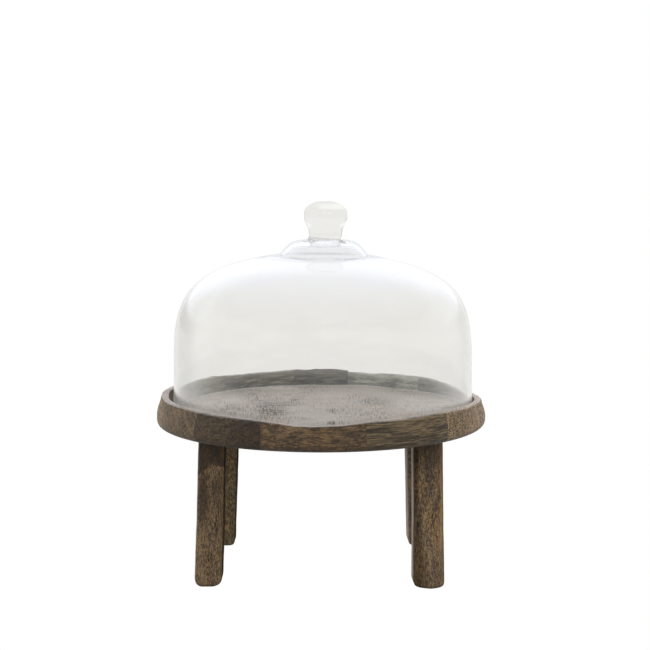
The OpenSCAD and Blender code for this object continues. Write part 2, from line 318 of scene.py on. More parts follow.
def build_staves():
    V, F = build_tray()
    me = bpy.data.meshes.new("tray_blank")
    me.from_pydata((V / MM).tolist(), [], F)
    me.update()
    whole = bmesh.new()
    whole.from_mesh(me)
    bmesh.ops.recalc_face_normals(whole, faces=whole.faces)
    bpy.data.meshes.remove(me)
    out = {}
    for ri, r in enumerate(ROWS):
        row = whole.copy()
        y0, y1 = (ROW_Y[ri] + GAP / 2) / MM, (ROW_Y[ri + 1] - GAP / 2) / MM
        if y0 > -0.3:
            cut_cap(row, (0, y0, 0), (0, 1, 0))
        if y1 < 0.3:
            cut_cap(row, (0, y1, 0), (0, -1, 0))
        for k in range(ROWS[r]):
            bm = row.copy()
            x0, x1 = (JOINTS[r][k] + GAP / 2) / MM, (JOINTS[r][k + 1] - GAP / 2) / MM
            if x0 > -0.3:
                cut_cap(bm, (x0, 0, 0), (1, 0, 0))
            if x1 < 0.3:
                cut_cap(bm, (x1, 0, 0), (-1, 0, 0))
            bmesh.ops.remove_doubles(bm, verts=bm.verts, dist=2e-6)
            bmesh.ops.dissolve_degenerate(bm, edges=bm.edges, dist=1e-6)
            bmesh.ops.recalc_face_normals(bm, faces=bm.faces)
            name = f"stave_{r}{k + 1}"
            m = bpy.data.meshes.new("wood_" + name)
            bm.to_mesh(m)
            bm.free()
            ob = bpy.data.objects.new("wood_" + name, m)
            bpy.context.scene.collection.objects.link(ob)
            out[name] = ob
        row.free()
    whole.free()
    # blind holes for the threaded inserts
    for name, ob in out.items():
        lo, hi = BOX[name]
        for hx, hy in HOLES:
            if lo[0] + 6 < hx < hi[0] - 6 and lo[1] + 6 < hy < hi[1] - 6:
                n = 64
                t = np.arange(n) * 2 * math.pi / n
                top = float(BOX["threaded_inserts"][1][2]) + 0.5
                ring = np.stack([hx + 5 * np.cos(t), hy + 5 * np.sin(t), np.zeros(n)], 1)
                a, b = ring.copy(), ring.copy()
                a[:, 2], b[:, 2] = UNDER - 5, top
                cone = np.array([[hx, hy, top + 1.2], [hx, hy, UNDER - 5]])
                cutter = new_mesh("cutter", np.concatenate([a, b, cone]),
                                  ring_faces(n, 0, n) + [(n + j, n + (j + 1) % n, 2 * n) for j in range(n)]
                                  + [(j, (j + 1) % n, 2 * n + 1) for j in range(n)])
                mod = ob.modifiers.new("hole", "BOOLEAN")
                mod.operation, mod.object, mod.solver = "DIFFERENCE", cutter, "EXACT"
                bpy.context.view_layer.update()
                dg = bpy.context.evaluated_depsgraph_get()
                m = bpy.data.meshes.new_from_object(ob.evaluated_get(dg))
                ob.modifiers.clear()
                ob.data = m
                cm = cutter.data
                bpy.data.objects.remove(cutter)
                bpy.data.meshes.remove(cm)
    for ob in out.values():
        finish_mesh(ob, 42)
    return out


# ---------------------------------------------------------------- legs
def build_leg(name, seed):
    lo, hi = BOX[name]
    sx = -1 if "left" in name else 1
    sy = -1 if "front" in name else 1
    cx, cy = sx * _ix, sy * _iy
    h = UNDER
    front_right = name == "leg_front_right"
    yaw, dx, a0, lean_out, corner = {
        "leg_front_left": (0.6, -1.5, 11.9, 1.25, (3.4, 3.2, 2.8, 4.4)),
        "leg_front_right": (2.6, -2.5, 13.2, 0.0, (3.4, 3.4, 4.8, 5.0)),
        "leg_rear_left": (-1.5, 1.3, 12.9, 1.35, (3.4, 3.4, 3.4, 3.4)),
        "leg_rear_right": (2.0, -2.3, 12.9, 1.2, (3.4, 3.4, 3.4, 3.4))}[name]
    cut_l, cut_r, cut_h, spread = {
        "leg_front_left": (4.4, 4.8, 7.8, 0.8), "leg_front_right": (2.0, 1.2, 4.5, 0.3),
        "leg_rear_left": (2.0, 1.8, 4.0, 0.6), "leg_rear_right": (2.6, 2.0, 6.0, 1.0)}[name]
    yaw = math.radians(yaw)
    splay = math.tan(math.radians(lean_out))
    lean = math.tan(math.radians(2.5 if sy < 0 else 1.3))
    b0 = 14.1
    zs = np.concatenate([[0, 0.12, 0.35, 0.7, 1.2, 1.9, 2.8, 3.8, 5.0], np.arange(6.5, h - 1.5, 1.5), [h - 0.8, h]])
    # rounded square, walked round from corner to corner
    rows = []
    for z in zs:
        t = (z / h)
        a = a0 + 0.35 * math.sin(2.1 * t + seed) - 0.2 * (1 - t)
        b = b0 + 0.3 * math.cos(2.6 * t + seed * 1.3)
        foot = max(0.0, 1 - z / cut_h)
        curl = 1 - math.sqrt(max(0.0, 1 - foot * foot))
        inset = 1.6 * curl
        if front_right:
            a += 0.9 * (1 - t) ** 2
        b = b - inset
        rcs = [min(k + 0.6 * math.sin(3.3 * t + 2 * seed + q) + (spread * k) * foot ** 2, min(a, b) - 0.5) for q, k in enumerate(corner)]
        segs = []
        for q, (qx, qy) in enumerate([(1, 1), (-1, 1), (-1, -1), (1, -1)]):
            rc, rn = rcs[q], rcs[(q + 1) % 4]
            c = np.array([qx * (a - rc), qy * (b - rc)])
            st = q * math.pi / 2
            arc = [(c[0] + rc * math.cos(st + k * math.pi / 2 / 8), c[1] + rc * math.sin(st + k * math.pi / 2 / 8)) for k in range(9)]
            nxt = [(1, 1), (-1, 1), (-1, -1), (1, -1)][(q + 1) % 4]
            c2 = np.array([nxt[0] * (a - rn), nxt[1] * (b - rn)])
            st2 = (q + 1) * math.pi / 2
            end = (c2[0] + rn * math.cos(st2), c2[1] + rn * math.sin(st2))
            last = arc[-1]
            side = [(last[0] + (end[0] - last[0]) * k / 24, last[1] + (end[1] - last[1]) * k / 24) for k in range(1, 24)]
            segs += arc + side
        P = np.array(segs)
        P[:, 0] *= np.where(P[:, 0] < 0, 1 - cut_l * curl / a, 1 - cut_r * curl / a)
        rows.append(np.column_stack([P, np.full(len(P), z)]))
    per = len(rows[0])
    V = np.concatenate(rows)
    if front_right:  # the front face is hewn to a low ridge that grows towards the foot
        w = np.clip(np.minimum((V[:, 0] + 12.7) / 13.4, (13.2 - V[:, 0]) / 12.5), 0, 1)
        w = 0.5 * w + 0.5 * np.sin(math.pi / 2 * w)
        V[:, 1] -= np.where(V[:, 1] < -6, 6.2 * w * (1 - 0.85 * smooth(0, 105, V[:, 2])), 0)
    d = V[:, :2] / np.maximum(np.linalg.norm(V[:, :2], axis=1), 1e-6)[:, None]
    q = V + np.array([seed * 37.0, seed * 11.0, 0])
    disp = 0.42 * pn(q * [1, 1, 0.5], 22) + 0.2 * pn(q * [1, 1, 0.6], 8, 3.3) + 0.06 * pn(q * [1, 1, 0.3], 2.4, 6.2)
    disp *= smooth(0, 2.5, V[:, 2])
    V[:, :2] += d * disp[:, None]
    # plane off the top flush with the tray, and lean outwards
    V[:, 0] += sx * splay * (h - V[:, 2]) + dx
    V[:, 1] -= lean * (h - V[:, 2])
    c, s = math.cos(yaw), math.sin(yaw)
    x, y = V[:, 0].copy(), V[:, 1].copy()
    V[:, 0], V[:, 1] = c * x - s * y, s * x + c * y
    faces = []
    m = len(zs)
    for i in range(m - 1):
        faces += ring_faces(per, i * per, (i + 1) * per)
    # underside: shrink to a point; top: shrink to the pilot hole, then down it
    def cap_to(center, first, levels):
        nonlocal V, faces
        prev = first
        src = V[first:first + per]
        for k, (rad, z) in enumerate(levels):
            ang = np.arctan2(src[:, 1] - center[1], src[:, 0] - center[0])
            ring = np.column_stack([center[0] + rad * np.cos(ang), center[1] + rad * np.sin(ang), np.full(per, z)])
            a = len(V)
            V = np.concatenate([V, ring])
            faces += ring_faces(per, prev, a)
            prev = a
        a = len(V)
        V = np.concatenate([V, [[center[0], center[1], levels[-1][1] - 0.0]]])
        faces += [(prev + j, prev + (j + 1) % per, a) for j in range(per)]

    foot_c = V[:per].mean(0)
    cap_to((foot_c[0], foot_c[1]), 0, [(8.0, 0.0), (4.0, 0.0), (1.5, 0.0)])
    depth = h - float(BOX["hanger_bolts"][0][2]) + 1.5
    cap_to((0.0, 0.0), (m - 1) * per, [(9.0, h), (5.5, h), (3.5, h), (3.5, h - depth), (1.2, h - depth - 1.0)])
    V += np.array([cx, cy, 0])
    return new_mesh("wood_" + name, V, faces, 42)


# ---------------------------------------------------------------- glass
def arc(cx, cz, r, a, b, n):
    t = np.radians(np.linspace(a, b, n + 1))
    return np.column_stack([cx + r * np.cos(t), cz + r * np.sin(t)])


def shell(rr, hh, zt, r_end, n):
    t0 = math.degrees(math.asin((r_end / rr) ** (3.3 / 2)))
    t = np.radians(np.linspace(90, t0, n + 1))
    r = rr * np.sin(t) ** (2 / 3.3)
    return np.column_stack([r, zt - hh + hh * np.maximum(np.cos(t), 0) ** (2 / 3.26) + 5.3 * np.exp(-(r - 43) / 32)])


def catmull(p, n):
    p = np.array(p, float)
    m = len(p)
    out = []
    for i in range(m - 1):
        p0, p1, p2, p3 = p[max(i - 1, 0)], p[i], p[i + 1], p[min(i + 2, m - 1)]
        for j in range(n):
            t = j / n
            out.append(0.5 * (2 * p1 + (p2 - p0) * t + (2 * p0 - 5 * p1 + 4 * p2 - p3) * t * t + (3 * p1 - p0 - 3 * p2 + p3) * t ** 3))
    out.append(p[-1])
    return np.array(out)


def resample(p, step):
    p = np.asarray(p)
    d = np.concatenate([[0], np.cumsum(np.linalg.norm(np.diff(p, axis=0), axis=1))])
    n = max(2, int(round(d[-1] / step)))
    s = np.linspace(0, d[-1], n + 1)
    return np.column_stack([np.interp(s, d, p[:, 0]), np.interp(s, d, p[:, 1])])


def revolve(profile, n, move=None):
    """Closed body from a profile whose first and last points are on the axis."""
    t = np.arange(n) * 2 * math.pi / n
    V = [[0, 0, profile[0][1]]]
    for r, z in profile[1:-1]:
        V += np.column_stack([r * np.sin(t), -r * np.cos(t), np.full(n, z)]).tolist()
    V.append([0, 0, profile[-1][1]])
    V = np.array(V, float)
    k = len(profile) - 2
    F = [(0, 1 + j, 1 + (j + 1) % n) for j in range(n)]
    for i in range(k - 1):
        F += ring_faces(n, 1 + i * n, 1 + (i + 1) * n)
    last = 1 + k * n
    F += [(1 + (k - 1) * n + j, 1 + (k - 1) * n + (j + 1) % n, last) for j in range(n)]
    if move is not None:
        V = move(V)
    return V, F


FOOT_R = 16.8
COLLAR_DX = 1.6
KNOB_DX = 3.3


# steps of the collar, outside and inside: share of its width inwards, share of its height
COLLAR_OUT = [(0.037, 0.16), (0.128, 0.335), (0.256, 0.58), (0.41, 0.80), (0.60, 0.93), (0.785, 0.985)]
COLLAR_IN = [(0.70, 0.933), (0.505, 0.80), (0.355, 0.585), (0.227, 0.36), (0.124, 0.17)]
# half profile of the knob: radius over the head's radius, height over the knob's height
KNOB_CURVE = [(0.82, 0.0), (0.785, 0.015), (0.752, 0.05), (0.748, 0.10), (0.758, 0.18), (0.785, 0.26), (0.825, 0.335), (0.88, 0.40),
              (0.945, 0.47), (0.99, 0.55), (1.0, 0.63), (0.995, 0.70), (0.965, 0.765), (0.905, 0.82), (0.80, 0.875),
              (0.65, 0.93), (0.47, 0.972), (0.24, 0.995), (0.0, 1.0)]


def build_glass():
    g = 3.2
    lip = g / 2
    cr = 41.0
    outer = shell(DOME_R, 96.0, CROWN_Z, cr + 4.5, 60)
    inner = shell(DOME_R - g, 96.0 - g, CROWN_Z - g, cr + 5.5, 60)
    w = cr - FOOT_R
    z1 = outer[-1][1]
    d = SEAT_Z - z1
    c_out = catmull([[cr + 6, z1 - 0.3], [cr + 4, z1], [cr + 1.2, z1 + 0.055 * d]]
                    + [[cr - k * w, z1 + v * d] for k, v in COLLAR_OUT] + [[FOOT_R, SEAT_Z]], 8)[8:]
    z2 = inner[-1][1]
    ceil = SEAT_Z - 1.125 * g
    d = ceil - z2
    c_in = catmull([[0, ceil], [cr - 0.99 * w, z2 + 0.993 * d]] + [[cr - k * w, z2 + v * d] for k, v in COLLAR_IN]
                   + [[cr + 0.6, z2 + 0.055 * d], [cr + 5, z2]], 8)[:-1]
    seat = np.array([[FOOT_R - 3, SEAT_Z], [FOOT_R - 8, SEAT_Z], [5, SEAT_Z], [0, SEAT_Z]])
    wall_low = resample([[DOME_R, FLOOR + lip], [DOME_R, outer[0][1]]], 3)[1:-1]
    wall_in = resample([[DOME_R - g, inner[0][1]], [DOME_R - g, FLOOR + lip]], 3)[1:-1]
    lip_arc = arc(DOME_R - lip, FLOOR + lip, lip, -180, 0, 12)
    # from the top middle of the hollow, out and down the inside, round the lip, up the outside, over the collar, across the seat
    profile = np.concatenate([c_in, inner[::-1], wall_in, lip_arc, wall_low, outer, c_out, seat])
    n_in = len(c_in) + len(inner) + len(wall_in)
    N = 288

    def blow(V):
        r = np.hypot(V[:, 0], V[:, 1])
        phi = np.arctan2(V[:, 0], -V[:, 1])
        up = smooth(FLOOR + 2, FLOOR + 40, V[:, 2])
        top = smooth(CROWN_Z + 2, SEAT_Z - 2, V[:, 2])
        ins = np.zeros(len(V), bool)
        ins[:1 + (n_in - 1) * N] = True
        q = V.copy()
        n1 = pn(q, 75, 1.3)
        n2 = pn(q, 26, 4.2) * np.where(ins, 1.0, 0.45)
        dr = (0.5 * n1 + 0.035 * n2 + 0.28 * np.cos(2 * phi + 0.7)) * up * (1 - top)
        dr += np.where(ins, 0.05 * pn(q, 17, 8.8), 0) * up * (1 - top)
        rr = np.maximum(r, 1e-6)
        V[:, 0] += V[:, 0] / rr * dr
        V[:, 1] += V[:, 1] / rr * dr
        V[:, 2] += (0.10 * n2 + 0.25 * n1) * up * (1 - smooth(CROWN_Z + 8, SEAT_Z - 1, V[:, 2])) * smooth(DOME_R, 60, r)
        near = smooth(100, 45, r)
        V[:, 0] += COLLAR_DX * near
        side = smooth(-80, 80, q[:, 0])
        V[:, 0] += ((1 - side) * 0.85 + side * 0.5 * (1 - smooth(CROWN_Z - 84, CROWN_Z - 66, q[:, 2]))) * (1 - near)
        drop = np.exp(-((q[:, 0] - 16.0) ** 2 + (q[:, 1] + 19.0) ** 2) / (2 * 2.6 ** 2))
        V[:, 2] += 1.5 * drop * np.where(ins, 0, 1) * top
        V[:, 2] -= 0.012 * V[:, 0] * up * smooth(CROWN_Z - 60, CROWN_Z - 5, q[:, 2]) * (1 - top) * smooth(130, 90, r)
        return V

    V, F = revolve(profile, N, blow)
    dome = new_mesh("blown_dome", V, F)

    h = KNOB_TOP - SEAT_Z
    r = 20.5
    k_out = catmull([[a * r if a > 0.001 else 0.0, SEAT_Z + b * h] for a, b in KNOB_CURVE], 8)
    k_out[0] = [FOOT_R, SEAT_Z]
    k_seat = np.array([[0, SEAT_Z], [5, SEAT_Z], [FOOT_R - 8, SEAT_Z], [FOOT_R - 3, SEAT_Z]])
    prof = np.concatenate([k_seat, k_out])
    M = 160

    def press(V):
        t = (V[:, 2] - SEAT_Z) / h
        w = smooth(0.02, 0.35, t)
        rr = np.maximum(np.hypot(V[:, 0], V[:, 1]), 1e-6)
        phi = np.arctan2(V[:, 0], -V[:, 1])
        dr = (0.30 * pn(V, 14, 3.7) + 0.35 * np.cos(2 * phi + 1.1) + 0.22 * np.cos(3 * phi)) * w * smooth(0, 10, rr)
        V[:, 0] += V[:, 0] / rr * dr
        V[:, 1] += V[:, 1] / rr * dr
        V[:, 2] += (0.35 * pn(V, 10, 9.1) - 0.022 * V[:, 0]) * smooth(0.3, 0.8, t)
        V[:, 0] += COLLAR_DX + (KNOB_DX - COLLAR_DX) * smooth(0, 0.12, t)
        return V

    V, F = revolve(prof, M, press)
    knob = new_mesh("fused_knob", V, F)
    return dome, knob


# ---------------------------------------------------------------- node helpers
class Tree:
    def __init__(self, nt):
        self.nt = nt
        nt.nodes.clear()

    def n(self, kind, props=None, **inputs):
        node = self.nt.nodes.new(kind)
        for k, v in (props or {}).items():
            setattr(node, k, v)
        for k, v in inputs.items():
            self.put(node, k.replace("_", " "), v)
        return node

    def put(self, node, key, v):
        sock = node.inputs[key]
        if isinstance(v, bpy.types.NodeSocket):
            self.nt.links.new(v, sock)
        else:
            sock.default_value = v

    def math(self, op, a, b=0.0, c=None, clamp=False):
        node = self.nt.nodes.new("ShaderNodeMath")
        node.operation, node.use_clamp = op, clamp
        for i, v in enumerate((a, b) if c is None else (a, b, c)):
            self.put(node, i, v)
        return node.outputs[0]

    def vmath(self, op, a, b=None, scale=None):
        node = self.nt.nodes.new("ShaderNodeVectorMath")
        node.operation = op
        self.put(node, 0, a)
        if b is not None:
            self.put(node, 1, b)
        if scale is not None:
            self.put(node, "Scale", scale)
        return node.outputs["Value"] if op in ("LENGTH", "DOT_PRODUCT", "DISTANCE") else node.outputs[0]

    def noise(self, vec, scale, detail=2.0, rough=0.5, dist=0.0, color=False):
        node = self.n("ShaderNodeTexNoise", Vector=vec, Scale=scale, Detail=detail, Roughness=rough, Distortion=dist)
        return node.outputs["Color"] if color else node.outputs[0]

    def voronoi(self, vec, scale, feature="F1", rand=1.0):
        node = self.n("ShaderNodeTexVoronoi", {"feature": feature}, Vector=vec, Scale=scale, Randomness=rand)
        return node.outputs["Distance"]

    def step(self, lo, hi, x, a=0.0, b=1.0):
        node = self.n("ShaderNodeMapRange", {"interpolation_type": "SMOOTHSTEP", "clamp": True})
        self.put(node, "Value", x)
        self.put(node, "From Min", lo)
        self.put(node, "From Max", hi)
        self.put(node, "To Min", a)
        self.put(node, "To Max", b)
        return node.outputs[0]

    def mix(self, fac, a, b, mode="MIX"):
        node = self.nt.nodes.new("ShaderNodeMix")
        node.data_type, node.blend_type, node.clamp_factor = "RGBA", mode, True
        self.put(node, 0, fac)
        self.put(node, 6, a)
        self.put(node, 7, b)
        return node.outputs[2]

    def ramp(self, fac, stops):
        node = self.nt.nodes.new("ShaderNodeValToRGB")
        el = node.color_ramp.elements
        while len(el) > 1:
            el.remove(el[-1])
        el[0].position, el[0].color = stops[0][0], stops[0][1]
        for p, c in stops[1:]:
            e = el.new(p)
            e.color = c
        self.put(node, 0, fac)
        return node.outputs[0]


def srgb(r, g, b, k=1.0):
    def f(c):
        c = c / 255.0
        return (c / 12.92 if c <= 0.04045 else ((c + 0.055) / 1.055) ** 2.4) * k
    return (f(r), f(g), f(b), 1.0)


def scaled(c, k):
    return (c[0] * k, c[1] * k, c[2] * k, 1.0)


def new_mat(name):
    m = bpy.data.materials.new(name)
    m.use_nodes = True
    return m, Tree(m.node_tree)


# ---------------------------------------------------------------- wood
RINGS = 0.14
FLAT_GLOSS = 0.20
FLAT_SPEC = 1.0
FLAT_SHEEN = 0.95


def blob(t, X, Y, x, y, rx, ry):
    """1 in the middle of an ellipse on the tray's floor, falling to 0 at its edge."""
    u = t.math("DIVIDE", t.math("SUBTRACT", X, float(x)), float(rx))
    v = t.math("DIVIDE", t.math("SUBTRACT", Y, float(y)), float(ry))
    return t.step(1.0, 0.3, t.math("SQRT", t.math("ADD", t.math("MULTIPLY", u, u), t.math("MULTIPLY", v, v))))


def wood(name, axis, seed, dark, mid, light, gold, speckle=0.5, top_dark=False, joints=(), rough=0.56, is_tray=True,
         strokes=1.0, scratch=0.0, end_dark=None, across=1.0, bands=1.0, pores=0.45, golden=0.45, sway=26.0,
         front_y=None, chamfer_highlight=0.0, flat_col=None, grain=None):
    m, t = new_mat(name)
    rng = np.random.default_rng(seed)
    off = rng.uniform(-400, 400, 3)
    geo = t.n("ShaderNodeTexCoord")
    pos = t.vmath("SCALE", geo.outputs["Object"], scale=MM)
    sep = t.n("ShaderNodeSeparateXYZ", Vector=pos)
    X, Y, Z = sep.outputs
    if axis == "x":
        com = t.n("ShaderNodeCombineXYZ", X=X, Y=Y, Z=Z)
    else:
        com = t.n("ShaderNodeCombineXYZ", X=Z, Y=X, Z=Y)
    P = t.vmath("ADD", t.vmath("MULTIPLY", com.outputs[0], (1.0, across, 1.0)), tuple(off))
    # slow bend of the grain
    bend = t.noise(t.vmath("MULTIPLY", P, (0.012, 0.02, 0.02)), 1.0, 2.0, color=True)
    bend = t.vmath("MULTIPLY", t.vmath("SUBTRACT", bend, (0.5, 0.5, 0.5)), (0, sway, sway))
    B = t.vmath("ADD", P, bend)
    sb = t.n("ShaderNodeSeparateXYZ", Vector=B)
    # growth rings round a pith off to one side
    cy, cz = off[1] + rng.uniform(-70, 70), off[2] + rng.choice([-1, 1]) * rng.uniform(30, 90) + (140 if is_tray else 0)
    dy = t.math("SUBTRACT", sb.outputs[1], float(cy))
    dz = t.math("SUBTRACT", sb.outputs[2], float(cz))
    rad = t.math("SQRT", t.math("ADD", t.math("MULTIPLY", dy, dy), t.math("MULTIPLY", dz, dz)))
    rad = t.math("ADD", rad, t.math("MULTIPLY", t.noise(t.vmath("MULTIPLY", B, (0.02, 0.12, 0.12)), 1.0, 3.0), 9.0))
    ring = t.math("FRACT", t.math("DIVIDE", rad, 6.5))
    ring = t.math("MULTIPLY", t.step(0.0, 0.75, ring), t.step(1.0, 0.86, ring))
    # slow changes, then streaks, short strokes, flecks and pores
    grain = grain or ((0.12, 0.85, 0.85) if is_tray else (0.24, 1.0, 1.0))
    patch = t.noise(t.vmath("MULTIPLY", B, (0.020, 0.05, 0.05)), 1.0, 3.0, 0.5)
    streak = t.noise(t.vmath("MULTIPLY", B, (0.022, 0.34, 0.34)), 1.0, 3.0, 0.6)
    fib = t.noise(t.vmath("MULTIPLY", B, grain), 1.0, 2.0, 0.6)
    fib2 = t.noise(t.vmath("MULTIPLY", B, (0.45, 2.2, 2.2)), 1.0, 1.0, 0.6)
    fleck = t.noise(t.vmath("MULTIPLY", P, (0.42, 0.95, 0.95) if is_tray else (0.62, 0.95, 0.95)), 1.0, 1.0, 0.6)
    cell = (0.15, 0.80, 0.80) if is_tray else (0.52, 0.86, 0.86)
    pore = t.step(0.40, 0.22, t.voronoi(t.vmath("MULTIPLY", B, cell), 1.0))
    pore = t.math("MULTIPLY", pore, t.step(0.36 if is_tray else 0.26, 0.58 if is_tray else 0.50, t.noise(t.vmath("MULTIPLY", P, (0.035, 0.08, 0.08)), 1.0, 2.0)))
    tone = t.math("ADD", 0.5, t.math("MULTIPLY", t.math("SUBTRACT", fib, 0.5), 1.30 * strokes))
    tone = t.math("ADD", tone, t.math("MULTIPLY", t.math("SUBTRACT", streak, 0.5), (0.65 if is_tray else 0.5) * bands))
    tone = t.math("ADD", tone, t.math("MULTIPLY", t.math("SUBTRACT", patch, 0.5), 0.55 if is_tray else 0.4))
    tone = t.math("ADD", tone, t.math("MULTIPLY", t.math("SUBTRACT", fib2, 0.5), 0.35))
    tone = t.math("ADD", tone, t.math("MULTIPLY", t.math("SUBTRACT", ring, 0.5), RINGS))
    col = t.ramp(tone, [(0.24, dark), (0.50, mid), (0.78, light)])
    gf = t.step(0.38, 0.72, t.noise(t.vmath("MULTIPLY", B, (0.03, 0.10, 0.10)), 1.0, 2.0, 0.5))
    col = t.mix(t.math("MULTIPLY", t.math("MULTIPLY", gf, golden), t.step(0.46, 0.60, fib)), col, gold)
    col = t.mix(t.math("MULTIPLY", t.step(0.57, 0.68, fleck), speckle), col, scaled(light, 1.25))
    col = t.mix(t.math("MULTIPLY", t.step(0.43, 0.33, fleck), speckle), col, scaled(dark, 0.75))
    if scratch:
        # fine scratches that cross at a slant
        for sgn in (1.0, -0.7):
            u = t.math("ADD", t.math("MULTIPLY", X, 0.62), t.math("MULTIPLY", Z, sgn))
            v = t.math("SUBTRACT", t.math("MULTIPLY", X, 0.62), t.math("MULTIPLY", Z, sgn))
            line = t.noise(t.n("ShaderNodeCombineXYZ", X=t.math("MULTIPLY", u, 0.75), Y=t.math("MULTIPLY", v, 0.05), Z=2.0).outputs[0], 1.0, 1.0)
            col = t.mix(t.math("MULTIPLY", t.step(0.60, 0.70, line), scratch), col, scaled(light, 1.3))
    col = t.mix(t.math("MULTIPLY", pore, pores), col, scaled(dark, 0.42))
    if end_dark is not None:
        x0, x1, k = end_dark
        near = t.step(float(x0), float(x1), t.math("ADD", X, t.math("MULTIPLY", t.math("SUBTRACT", patch, 0.5), 60.0)))
        col = t.mix(t.math("MULTIPLY", near, k), col, scaled(dark, 0.75))
    height = t.math("ADD", t.math("MULTIPLY", fib, 0.5), t.math("MULTIPLY", fib2, 0.3))
    height = t.math("SUBTRACT", height, t.math("MULTIPLY", pore, 0.45))
    rgh = t.math("ADD", rough, t.math("MULTIPLY", t.math("SUBTRACT", patch, 0.5), 0.25))
    spec, shn = 0.5, 0.0
    nrm = t.n("ShaderNodeSeparateXYZ", Vector=t.n("ShaderNodeNewGeometry").outputs["True Normal"])
    if is_tray:
        # chatter marks across the grain, on the turned floor and the top of the rim
        flat = t.step(0.50, 0.82, nrm.outputs[2])
        wob = t.math("MULTIPLY", t.noise(t.vmath("MULTIPLY", pos, (0.02, 0.008, 0)), 1.0, 1.0), 1.4)
        hx = t.math("ADD", t.math("DIVIDE", X, t.math("ADD", 1.0, t.math("MULTIPLY", Y, 1.0 / 1400.0))), wob)
        hv = t.n("ShaderNodeCombineXYZ", X=t.math("MULTIPLY", hx, 0.80), Y=t.math("MULTIPLY", Y, 0.045), Z=float(seed % 7))
        hatch = t.noise(hv.outputs[0], 1.0, 1.0, 0.6)
        area = t.math("MULTIPLY", t.step(0.40, 0.62, t.noise(t.vmath("MULTIPLY", pos, (0.026, 0.012, 0.02)), 1.0, 2.0)), 0.6)
        for x, y, rx, ry in ((-66, 66, 22, 40), (-70, -8, 22, 42), (46, -36, 26, 40), (16, -84, 30, 24), (-95, 10, 22, 50)):
            area = t.math("MAXIMUM", area, t.math("MULTIPLY", blob(t, X, Y, x, y, rx, ry), 0.9))
        lines = t.math("MULTIPLY", t.math("MULTIPLY", t.step(0.47, 0.60, hatch), t.math("ADD", 0.15, t.math("MULTIPLY", area, 0.85))), flat)
        cross = t.noise(t.vmath("MULTIPLY", pos, (0.040, 0.15, 0.3)), 1.0, 3.0, 0.65)
        streak = t.step(0.56, 0.68, cross)
        smask = t.step(0.48, 0.62, t.noise(t.vmath("MULTIPLY", pos, (0.018, 0.02, 0.02)), 1.0, 2.0))
        spots = t.math("MAXIMUM", blob(t, X, Y, -47, -2, 21, 66), t.math("MULTIPLY", blob(t, X, Y, -32, 22, 24, 24), 0.7))
        for x, y, rx, ry in ((-27, 43, 8, 12), (9, -16, 8, 16), (9, -81, 6, 16), (-62, 34, 10, 22), (52, 34, 22, 34), (-20, -60, 16, 16), (-84, 4, 12, 24)):
            spots = t.math("MAXIMUM", spots, t.math("MULTIPLY", blob(t, X, Y, x, y, rx, ry), 0.7 if rx < 9 else 0.5))
        ragged = t.step(0.40, 0.62, t.noise(t.vmath("MULTIPLY", pos, (0.06, 0.13, 0.3)), 1.0, 3.0, 0.75))
        weave = t.math("MAXIMUM", t.math("MULTIPLY", ragged, 0.9), t.math("MULTIPLY", t.step(0.44, 0.62, hatch), 0.7))
        weave = t.math("ADD", t.math("MULTIPLY", weave, 0.8), 0.2)
        streak = t.math("MULTIPLY", t.math("MAXIMUM", t.math("MULTIPLY", t.math("MULTIPLY", streak, smask), 0.6), t.math("MULTIPLY", spots, weave)), flat)
        col = t.mix(t.math("MULTIPLY", lines, 0.60), col, scaled(dark, 0.45))
        col = t.mix(t.math("MULTIPLY", streak, 0.7), col, scaled(dark, 0.35))
        rgh = t.math("SUBTRACT", rgh, t.math("MULTIPLY", flat, FLAT_GLOSS))
        worn = t.step(0.35, 0.70, t.noise(t.vmath("MULTIPLY", pos, (0.022, 0.010, 0.02)), 1.0, 3.0, 0.6))
        marks = t.math("ADD", t.math("MULTIPLY", lines, 0.62), t.math("MULTIPLY", streak, 0.95), clamp=True)
        marks = t.math("ADD", marks, t.math("MULTIPLY", worn, 0.16), clamp=True)
        marks = t.math("SUBTRACT", marks, t.math("MULTIPLY", t.math("MAXIMUM", t.math("MAXIMUM", blob(t, X, Y, 98, 20, 36, 70), blob(t, X, Y, -100, 42, 34, 60)), blob(t, X, Y, -46, 118, 34, 16)), 0.52))
        rgh = t.math("ADD", rgh, t.math("MULTIPLY", marks, 0.18))
        spec = t.math("MULTIPLY", t.math("SUBTRACT", 1.0, t.math("MULTIPLY", marks, 0.88)), t.step(0.0, 1.0, flat, 0.42, FLAT_SPEC))
        shn = t.math("MULTIPLY", t.math("MULTIPLY", flat, FLAT_SHEEN), t.math("SUBTRACT", 1.0, t.math("MULTIPLY", marks, 0.88)))
        # painted sheen: the ends of the wall are lightened where they turn edge-on, and painted shade darkens the inner
        # side walls towards the front
        painted_limb_sheen = t.math("MULTIPLY", t.math("MULTIPLY", t.step(0.80, 0.97, t.math("ABSOLUTE", nrm.outputs[0])), t.math("SUBTRACT", 1.0, flat)), t.step(126.0, 150.0, t.math("ABSOLUTE", X)))
        away = t.math("MULTIPLY", nrm.outputs[0], X)
        painted_limb_sheen = t.math("MULTIPLY", painted_limb_sheen, t.step(10.0, 60.0, away))
        painted_inner_shade = t.math("MULTIPLY", t.math("MULTIPLY", t.step(-30.0, -90.0, away), t.math("SUBTRACT", 1.0, flat)), t.step(60.0, 20.0, Y))
        painted_light_gain = t.math("SUBTRACT", t.math("ADD", 1.0, t.math("MULTIPLY", painted_limb_sheen, 0.75)), t.math("MULTIPLY", painted_inner_shade, 0.42))
        col = t.vmath("SCALE", col, scale=painted_light_gain)
        # painted light: the rim's top on the right is painted paler
        pale = t.math("MULTIPLY", t.math("MULTIPLY", flat, t.step(110.0, 138.0, X)), t.step(FLOOR + 4.0, FLOOR + 7.0, Z))
        col = t.mix(t.math("MULTIPLY", pale, 0.45), col, scaled(L0, 1.5))
        if flat_col is not None:
